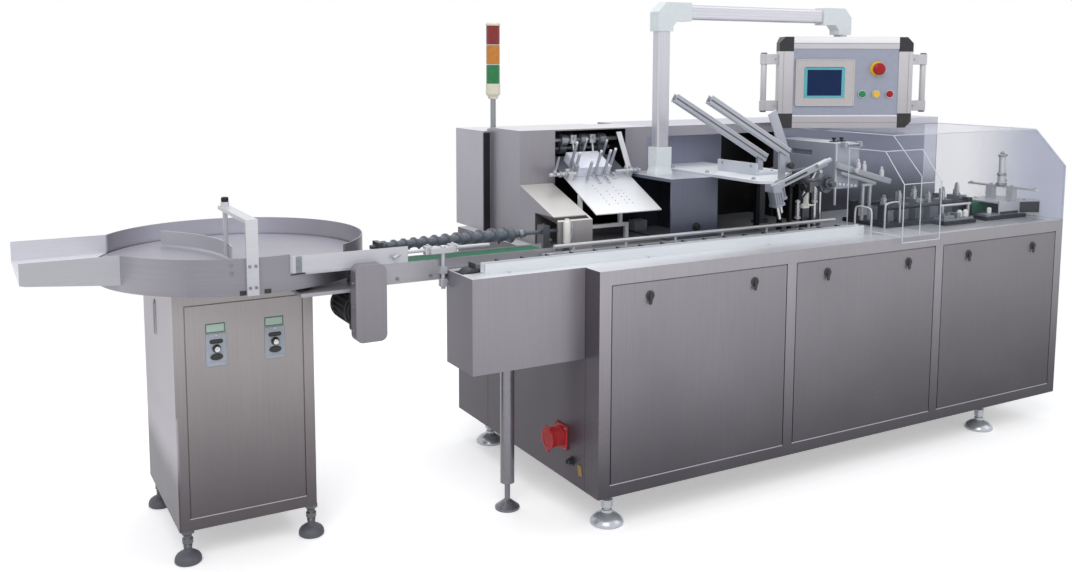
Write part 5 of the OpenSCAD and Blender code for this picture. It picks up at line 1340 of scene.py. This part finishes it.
def stop_bar_details():
    """Bent stop bar on its foot, and the front guide bar with its hanger, rod, strut and slot."""
    path = eased([(x, 303.0, z) for x, z in STOP_BAR], 20)
    bent = carried(rounded(44.0, 6.0, 2.0, 3), path, BACK)
    foot = slab((1056.0, 298.0, 1147.0), (1098.0, 330.0, 1153.0), corner=3.0)
    piece("stop_bar", [bent, foot], "rails")
    low, high = np.array((772.0, 55.0, 1120.0)), np.array((1040.0, 55.0, 1208.0))
    guide = bar(low, high, 10.0, 26.0, UP, 2.0)
    hanger = slab((776.0, 47.0, 1106.0), (812.0, 96.0, 1137.2), axis=1, corner=3.0)
    rod_end = rod((985.0, 48.0, 1194.0), (1052.0, 48.0, 1216.0), 9.0)
    strut = bar((1030.0, 60.0, 1196.0), (1068.0, 292.0, 1149.0), 16.0, 5.0)
    piece("front_guide", [guide, hanger, rod_end, strut], "rails")
    slot_ends = [low + (high - low) * share - (0, 5.2, 0) for share in (0.22, 0.62)]
    piece("front_guide_slot", [bar(*slot_ends, 0.8, 8.0)], "black")


def rail_details():
    """Bright lips on the edges of the sloping carton rails and dark grooves along their sides."""
    down = np.array((math.cos(RAIL_SLOPE), 0.0, -math.sin(RAIL_SLOPE)))
    square = np.array((math.sin(RAIL_SLOPE), 0.0, math.cos(RAIL_SLOPE)))
    lips, lines = [], []
    for k, length in enumerate((426.0, 506.0)):
        start = np.array((530.0, 120.0 + 200.0 * k, 1446.0))
        for side in (-1, 1):
            edge = start + (0.0, 11.0 * side, 0.0) + 15.4 * square
            lips.append(bar(edge, edge + length * down, 4.4, 2.0, square, 0.6))
            groove = start + (0.0, 13.1 * side, 0.0) - 1.0 * square
            lines.append(bar(groove, groove + length * down, 0.8, 6.0, square, 0.3))
    piece("rail_lips", lips, "bright")
    piece("rail_grooves", lines, "dark_steel")


def cylinder_details():
    """Ribbed air cylinders under the magazine's bed, each with two hanging rods and a piston rod."""
    blocks, rods = [], []
    for ends in CYLINDERS:
        top, low = map(np.array, ends)
        lean = (low - top) / np.linalg.norm(low - top)
        blocks.append(bar(top, low, 42.0, 42.0, BACK, 7.0))
        blocks += [bar(end - 5.0 * lean, end + 5.0 * lean, 46.0, 46.0, BACK, 5.0) for end in (top, low)]
        blocks += [bar(top + (d, -22.0, 0.0), low + (d, -22.0, 0.0), 3.0, 3.0, BACK)
                   for d in (-12.0, 0.0, 12.0)]
        rods.append(rod(low, low + 58.0 * lean, 6.0))
        rods += [rod(top + (d, 0.0, 0.0), (top[0] + d, top[1], 1137.0), 7.0) for d in (-12.0, 12.0)]
    piece("air_cylinders", blocks, "rails")
    piece("cylinder_rods", rods, "chrome")


def bed_details():
    """Screws and nuts of the magazine's bed and rails, and its clamping knob."""
    screws = [cap_screw((x, y, 1159.0), UP, 5.0, 4.0) for x in (886.0, 958.0) for y in (260.0, 350.0, 450.0)]
    screws += [cap_screw((862.0, y, 1182.0), LEFT, 5.0, 4.0) for y in (270.0, 440.0)]
    screws += [nut((770.0, y, 1147.0), UP, 8.0, 6.0) for y in (150.0, 420.0, 640.0)]
    piece("bed_screws", screws, "machined")
    piece("magazine_knob", [knob((1078.0, 300.0, 1172.0), FRONT, 13.0, 26.0)], "black")


PICKER_X, PICKER_Z, PICKER_YS = 1180.0, 1105.0, (190.0, 390.0, 480.0)
PICKER_CUP = [(4, 0), (4, 6), (11, 10), (8, 13), (13, 17), (9, 20), (15, 26)]
PICKER_POSTS = [(1136.0, 300.0, 1020.0), (1226.0, 300.0, 1080.0), (1304.0, 350.0, 1128.0),
                (1318.0, 420.0, 1040.0)]
PICKER_RODS = (((1136.0, 300.0, 1004.0), (1226.0, 300.0, 1004.0)),
               ((1226.0, 300.0, 1064.0), (1304.0, 350.0, 1064.0)),
               ((1304.0, 350.0, 1024.0), (1318.0, 420.0, 1024.0)),
               ((1258.0, 330.0, 1132.0), (1110.0, 250.0, 1046.0)),
               ((1110.0, 250.0, 1046.0), (1095.0, 204.0, 1078.0)))
AIR_POT = [(9, 0), (11, 1), (11, 10), (10, 11), (10, 60), (11, 61), (11, 70), (8, 72)]


def picker_details():
    """Suction cups of the carton picker, and its hub bolts, shaft collars and post flanges."""
    cups = [turned(PICKER_CUP, (1085.0, y + 8.0, 1096.0), LEFT, 24) for y in PICKER_YS]
    piece("picker_cups", cups, "black")
    t = np.linspace(0.0, 2.0 * np.pi, 6, endpoint=False)
    bolts = [cap_screw((PICKER_X + 26.0 * math.cos(a), y, PICKER_Z + 26.0 * math.sin(a)), FRONT, 4.0, 4.0)
             for y in PICKER_YS for a in t]
    collars = [ring((PICKER_X, y, PICKER_Z), BACK, 12.03, 19.0, 14.0) for y in (172.0, 226.0, 334.0, 430.0)]
    flanges = [slab((1148.0, y - 12.0, DECK), (1212.0, y + 30.0, DECK + 9.0), corner=4.0)
               for y in (300.0, 560.0)]
    flanges += [nut((x, y - 3.0, DECK + 9.0), UP, 7.0, 6.0) for x in (1155.0, 1205.0) for y in (300.0, 560.0)]
    piece("picker_bolts", bolts + collars + flanges, "dark_steel")


def erector_details():
    """Posts and cross rods beside the picker with springs, nuts and seats, air cylinder and dark frame."""
    rods = [rod((x, y, DECK), (x, y, z), 7.0) for x, y, z in PICKER_POSTS]
    rods += [rod(a, b, 5.0) for a, b in PICKER_RODS]
    piece("picker_rods", rods, "chrome")
    coils = [spring((x, y, z - 58.0), UP, 9.0, 50.0, 7) for x, y, z in PICKER_POSTS]
    caps = [nut((x, y, z - 2.0), UP, 10.0, 9.0) for x, y, z in PICKER_POSTS]
    seats = [ring((x, y, z - 66.0), UP, 7.03, 13.0, 8.0) for x, y, z in PICKER_POSTS]
    piece("picker_springs", coils + caps + seats, "bright")
    pot = turned(AIR_POT, (1168.0, 289.0, 1012.0), sides=28)
    seat = slab((1152.0, 284.0, 996.0), (1184.0, 301.0, 1014.0), corner=2.0)
    piece("picker_cylinder", [pot, seat], "white")
    shields = [slab((1062.0, 322.0, DECK), (1076.0, 342.0, 1120.0), corner=2.0),
               slab((1100.0, 306.0, DECK), (1112.0, 326.0, 1090.0), corner=2.0),
               slab((1028.0, 420.0, DECK), (1046.0, 440.0, 1136.0), corner=2.0),
               slab((1062.0, 322.0, 1040.0), (1112.0, 328.0, 1052.0), corner=2.0)]
    piece("picker_frame", shields, "black_rail")


# Closing and discharge


FRONT_HOOP = [(118.0, DECK), (118.0, 984.0), (134.0, 1003.0), (186.0, 1003.0), (202.0, 984.0), (202.0, DECK)]
SIDE_HOOP = [(1506.0, 186.0, DECK), (1507.0, 186.0, 984.0), (1522.0, 189.0, 1003.0), (1602.0, 205.0, 1003.0),
             (1617.0, 208.0, 984.0), (1618.0, 208.0, 916.0)]
PIVOT_X, PIVOT_Z = 1440.0, 1134.0
LEVER_POT = [(8, 0), (10, 1), (10, 26), (6, 29), (6, 40), (4, 42)]
FOLDER_X, FOLDER_STEP, FOLDER_COUNT = 1585.0, 91.0, 6


def lever_details():
    """Tuck lever with its cylinders, and the dots, corner bar and knobs of the closing housing."""
    lever = [bar((1339.0, 300.0, 1161.0), (1656.0, 300.0, 1076.0), 10.0, 26.0, UP, 3.0),
             bar((1360.0, 291.0, 1128.0), (1560.0, 291.0, 1074.0), 6.0, 14.0),
             rod((PIVOT_X, 288.0, PIVOT_Z), (PIVOT_X, 318.0, PIVOT_Z), 12.0),
             rod((1400.0, 286.0, 1117.0), (1400.0, 318.0, 1117.0), 6.0)]
    piece("tuck_lever", lever, "machined")
    pots = [turned(LEVER_POT, (x, 300.0, z), sides=24)
            for x, z in ((1466.0, 1137.0), (1500.0, 1128.0), (1604.0, 1100.0))]
    pivot = nut((PIVOT_X, 288.0, PIVOT_Z), FRONT, 11.0, 8.0)
    piece("lever_cylinders", [*pots, pivot], "bright")
    dots = [cap_screw((1360.0 + 22.0 * k, 318.0, 1080.0 - 2.5 * k), FRONT, 5.5, 4.0) for k in range(6)]
    piece("housing_dots", dots, "white")
    corner = slab((1349.0, 310.0, 993.0), (1355.0, 318.6, 1246.0), corner=1.0)
    piece("corner_bar", [corner], "bright")
    lids = [slab((1400.0 + 44.0 * k, 380.0, 1247.0), (1432.0 + 44.0 * k, 404.0, 1251.0), corner=4.0)
            for k in range(2)]
    grips = [knob((1416.0 + 44.0 * k, 392.0, 1251.0), UP, 9.0, 14.0) for k in range(2)]
    piece("housing_knobs", lids + grips, "black_rail")


def hoop_details():
    """Bent hoops, a small frame and a guide rod on posts beside the product line."""
    hoops = [wire(at_x(1354.0, FRONT_HOOP), 4.0, 40, up=RIGHT), wire(SIDE_HOOP, 4.0, 40, up=(-0.2, 1.0, 0.0))]
    frame_bars = [slab((x, 322.0, 916.0), (x + 11.0, 334.0, 1060.0), corner=2.0) for x in (1521.0, 1562.0)]
    frame_bars.append(slab((1516.0, 320.0, 1060.0), (1578.0, 336.0, 1070.0), axis=0, corner=2.0))
    guide = [rod((1856.0, 200.0, 970.0), (2046.0, 200.0, 970.0), 6.0),
             *[rod((x, 200.0, 916.0), (x, 200.0, 970.0), 6.0) for x in (1870.0, 2032.0)]]
    piece("guide_hoops", hoops + frame_bars + guide, "bright")


def fore_details():
    """Low plates with screws and nuts before the folder blocks, and the white drums on them."""
    plates = [slab((1795.0, 126.0, 916.0), (1978.0, 184.0, 925.0), corner=3.0),
              slab((1806.0, 134.0, 925.0), (1866.0, 176.0, 938.0), corner=3.0),
              slab((1878.0, 130.0, 925.0), (1900.0, 180.0, 946.0), corner=2.0),
              slab((2072.0, 134.0, 916.0), (2158.0, 186.0, 926.0), corner=3.0)]
    plates += [cap_screw((x, y, 925.0), UP, 4.5, 4.0) for x in (1802.0, 1970.0) for y in (132.0, 178.0)]
    plates += [nut((x, 155.0, 938.0), UP, 8.0, 7.0) for x in (1820.0, 1850.0)]
    piece("fore_plates", plates, "machined")
    drum = [(10, 0), (11, 1), (11, 24), (7, 27), (7, 30)]
    drums = [turned(drum, (x, 152.0, 925.0), sides=24) for x in (1918.0, 1956.0)]
    drums.append(turned([(8, 0), (9, 1), (9, 22), (6, 25)], (2120.0, 160.0, 926.0), sides=24))
    piece("fore_drums", drums, "white")


def folder_details():
    """Nuts, collars and screws of the folder blocks, and the springs, pins and fingers on them."""
    tops, stems = [], []
    for k in range(FOLDER_COUNT):
        x, z = FOLDER_X + FOLDER_STEP * k, 970.0 + 14.0 * (k % 3)
        middle = x + 25.0
        tops.append(nut((middle, 288.0, z + 44.0), UP, 8.0, 7.0))
        tops.append(ring((middle, 288.0, z), UP, 9.03, 15.0, 9.0))
        tops += [cap_screw((x + d, 255.0, z - 14.0), FRONT, 5.0, 4.0) for d in (11.0, 39.0)]
        tops.append(ring((middle, 362.0, 950.0), FRONT, 11.03, 16.0, 12.0))
        stems.append(spring((middle, 288.0, z + 10.0), UP, 11.0, 30.0, 5, 1.6))
        stems.append(rod((x + 6.0, 268.0, z - 2.0), (x + 6.0, 268.0, z + 34.0 + 18.0 * (k % 2)), 4.5))
        tip = z + 20.0 + 24.0 * (k % 3 == 1)
        stems.append(slab((x + 34.0, 300.0, z - 1.0), (x + 46.0, 316.0, tip), corner=2.0))
    piece("folder_nuts", tops, "machined")
    piece("folder_springs", stems, "bright")


PRESS = (2287.0, 230.0)
HOOD_OUT = (-0.373, -0.928, 0.0)


def discharge_details():
    """Dark cover on the hood's slanting face, cylinder collars and ports, bolts of hood and clamp bar."""
    out = np.array(HOOD_OUT) * 1.6
    left, right = (np.array(p) + out for p in ((2303.0, 143.8, 943.0), (2388.0, 109.6, 943.0)))
    face = bar(left, right, 2.4, 48.0, UP, 0.8)
    pad = slab((2172.0, 141.0, 919.0), (2290.0, 145.0, 930.0), axis=1, corner=2.0)
    piece("hood_cover", [face, pad], "black")
    collars = [ring((*PRESS, 1076.0), UP, 14.05, 20.0, 12.0), ring((*PRESS, 1160.0), UP, 14.05, 18.0, 12.0),
               ring((*PRESS, 1034.0), UP, 17.05, 23.0, 10.0), nut((*PRESS, 1173.0), UP, 10.0, 8.0)]
    ports = [rod((x0, PRESS[1], z), (x1, PRESS[1], z), 5.0)
             for x0, x1, z in ((2300.0, 2318.0, 1166.0), (2303.0, 2322.0, 1052.0))]
    bolts = [cap_screw((x, y, 970.0), UP, 5.0, 4.0) for x in (2176.0, 2240.0, 2350.0) for y in (156.0, 324.0)]
    bolts += [cap_screw((PRESS[0], y, 1033.0), UP, 5.5, 5.0) for y in (64.0, 177.0, 281.0, 384.0)]
    piece("press_collars", collars + ports + bolts, "machined")


# All pieces, in the order of the machine

latch_details()
inlet_details()
foot_details()
seam_details()
rim_details()
grip_details()
control_details()
screw_details()
conveyor_details()
motor_details()
bearing_details()
beacon_details()
arm_details()
screen_details()
button_details()
profile_details()
handle_details()
guard_details()
leaflet_details()
feed_head_details()
deck_details()
stop_bar_details()
rail_details()
cylinder_details()
bed_details()
picker_details()
erector_details()
lever_details()
hoop_details()
fore_details()
folder_details()
discharge_details()

# Camera, floor, light

VIEW_RIGHT = (0.87282954, -0.48802149, 0.00190277)
VIEW_UP = (0.05151534, 0.09601124, 0.99404628)
VIEW_FORWARD = (0.48529864, 0.86753494, -0.10894203)
EYE = (np.array([-1810.45, -2772.52, 1570.65]) - MACHINE_ORIGIN) / 1000.0
PHOTO_W, PHOTO_H = 1072.0, 572.0
FOCAL_PIXELS, MIDDLE_X, MIDDLE_Y = 1038.095, 530.244, 177.249
SENSOR = 36.0

camera = bpy.data.objects.new("camera", bpy.data.cameras.new("camera"))
scene.collection.objects.link(camera)
scene.camera = camera
pose = np.eye(4)
pose[:3, 0], pose[:3, 1], pose[:3, 2], pose[:3, 3] = VIEW_RIGHT, VIEW_UP, -np.array(VIEW_FORWARD), EYE
camera.matrix_world = Matrix(pose.tolist())
camera.data.sensor_width = SENSOR
camera.data.lens = FOCAL_PIXELS * SENSOR / PHOTO_W
camera.data.shift_x = (PHOTO_W / 2 - MIDDLE_X) / PHOTO_W
camera.data.shift_y = (MIDDLE_Y - PHOTO_H / 2) / PHOTO_W
camera.data.clip_end = 100.0


def seen_directly(tree):
    """1 for rays from the eye, in reflections and through clear panes; 0 for light falling on the object."""
    path = tree.nodes.new("ShaderNodeLightPath").outputs
    eye = node_of(tree, "ShaderNodeMath", [(0, path["Is Camera Ray"]), (1, path["Is Glossy Ray"])],
                  operation="MAXIMUM")
    return node_of(tree, "ShaderNodeMath", [(0, eye.outputs[0]), (1, path["Is Transmission Ray"])],
                   operation="MAXIMUM").outputs[0]


def bright_floor():
    """Pale floor with soft shadows near the object; seen directly it turns plain white further away."""
    m = bpy.data.materials.new("pale_floor")
    m.use_nodes = True
    t = m.node_tree
    t.nodes.clear()
    matte = node_of(t, "ShaderNodeBsdfDiffuse", [("Color", (0.86, 0.86, 0.87, 1.0))])
    glow = node_of(t, "ShaderNodeEmission", [("Color", (1.0, 1.0, 1.0, 1.0)), ("Strength", 0.42)])
    white = node_of(t, "ShaderNodeEmission", [("Color", (1.0, 1.0, 1.0, 1.0)), ("Strength", 1.0)])
    near = node_of(t, "ShaderNodeAddShader", [(0, matte.outputs[0]), (1, glow.outputs[0])])
    co = node_of(t, "ShaderNodeTexCoord").outputs["Object"]
    away = node_of(t, "ShaderNodeVectorMath", [(0, co)], operation="LENGTH").outputs["Value"]
    far = node_of(t, "ShaderNodeMapRange", [("Value", away), ("From Min", 1.6), ("From Max", 3.6)],
                  interpolation_type="SMOOTHSTEP").outputs[0]
    plain = node_of(t, "ShaderNodeMixShader", [(0, far), (1, near.outputs[0]), (2, white.outputs[0])])
    pick = node_of(t, "ShaderNodeMixShader",
                   [(0, seen_directly(t)), (1, matte.outputs[0]), (2, plain.outputs[0])])
    t.links.new(pick.outputs[0], t.nodes.new("ShaderNodeOutputMaterial").inputs["Surface"])
    return m


FLOOR_HALF, FLOOR_Z = 40, -0.0006

floor_mesh = bpy.data.meshes.new("floor")
corners = [(x * FLOOR_HALF, y * FLOOR_HALF, FLOOR_Z) for x, y in ((-1, -1), (1, -1), (1, 1), (-1, 1))]
floor_mesh.from_pydata(corners, [], [(0, 1, 2, 3)])
floor_mesh.materials.append(bright_floor())
floor = bpy.data.objects.new("floor", floor_mesh)
scene.collection.objects.link(floor)

world = bpy.data.worlds.new("studio")
scene.world = world
world.use_nodes = True
wt = world.node_tree
wt.nodes.clear()
ambient = node_of(wt, "ShaderNodeBackground", [("Color", (0.95, 0.97, 1.0, 1.0)), ("Strength", 0.55)])
white = node_of(wt, "ShaderNodeBackground", [("Color", (1.0, 1.0, 1.0, 1.0)), ("Strength", 1.0)])
pick = node_of(wt, "ShaderNodeMixShader",
               [(0, seen_directly(wt)), (1, ambient.outputs[0]), (2, white.outputs[0])])
wt.links.new(pick.outputs[0], wt.nodes.new("ShaderNodeOutputWorld").inputs["Surface"])


def softbox(name, place, target, size, watts, colour=(1.0, 1.0, 1.0)):
    """Square area lamp at place, turned to target."""
    lamp = bpy.data.lights.new(name, "AREA")
    lamp.size, lamp.energy, lamp.color = size, watts, colour
    obj = bpy.data.objects.new(name, lamp)
    scene.collection.objects.link(obj)
    back = np.array(place, float) - np.array(target, float)
    back /= np.linalg.norm(back)
    side = np.cross(UP, back)
    side /= np.linalg.norm(side)
    m = np.eye(4)
    m[:3, 0], m[:3, 1], m[:3, 2], m[:3, 3] = side, np.cross(back, side), back, place
    obj.matrix_world = Matrix(m.tolist())


softbox("key_light", (-3.5, -4.5, 5.5), (0.0, 0.0, 0.8), 4.0, 210.0, (1.0, 0.99, 0.97))
softbox("fill_light", (4.5, -3.5, 4.0), (0.3, 0.0, 0.8), 3.5, 45.0)
softbox("top_light", (0.0, 1.2, 6.0), (0.0, 0.0, 0.9), 4.5, 120.0)

scene.view_settings.view_transform = "Standard"
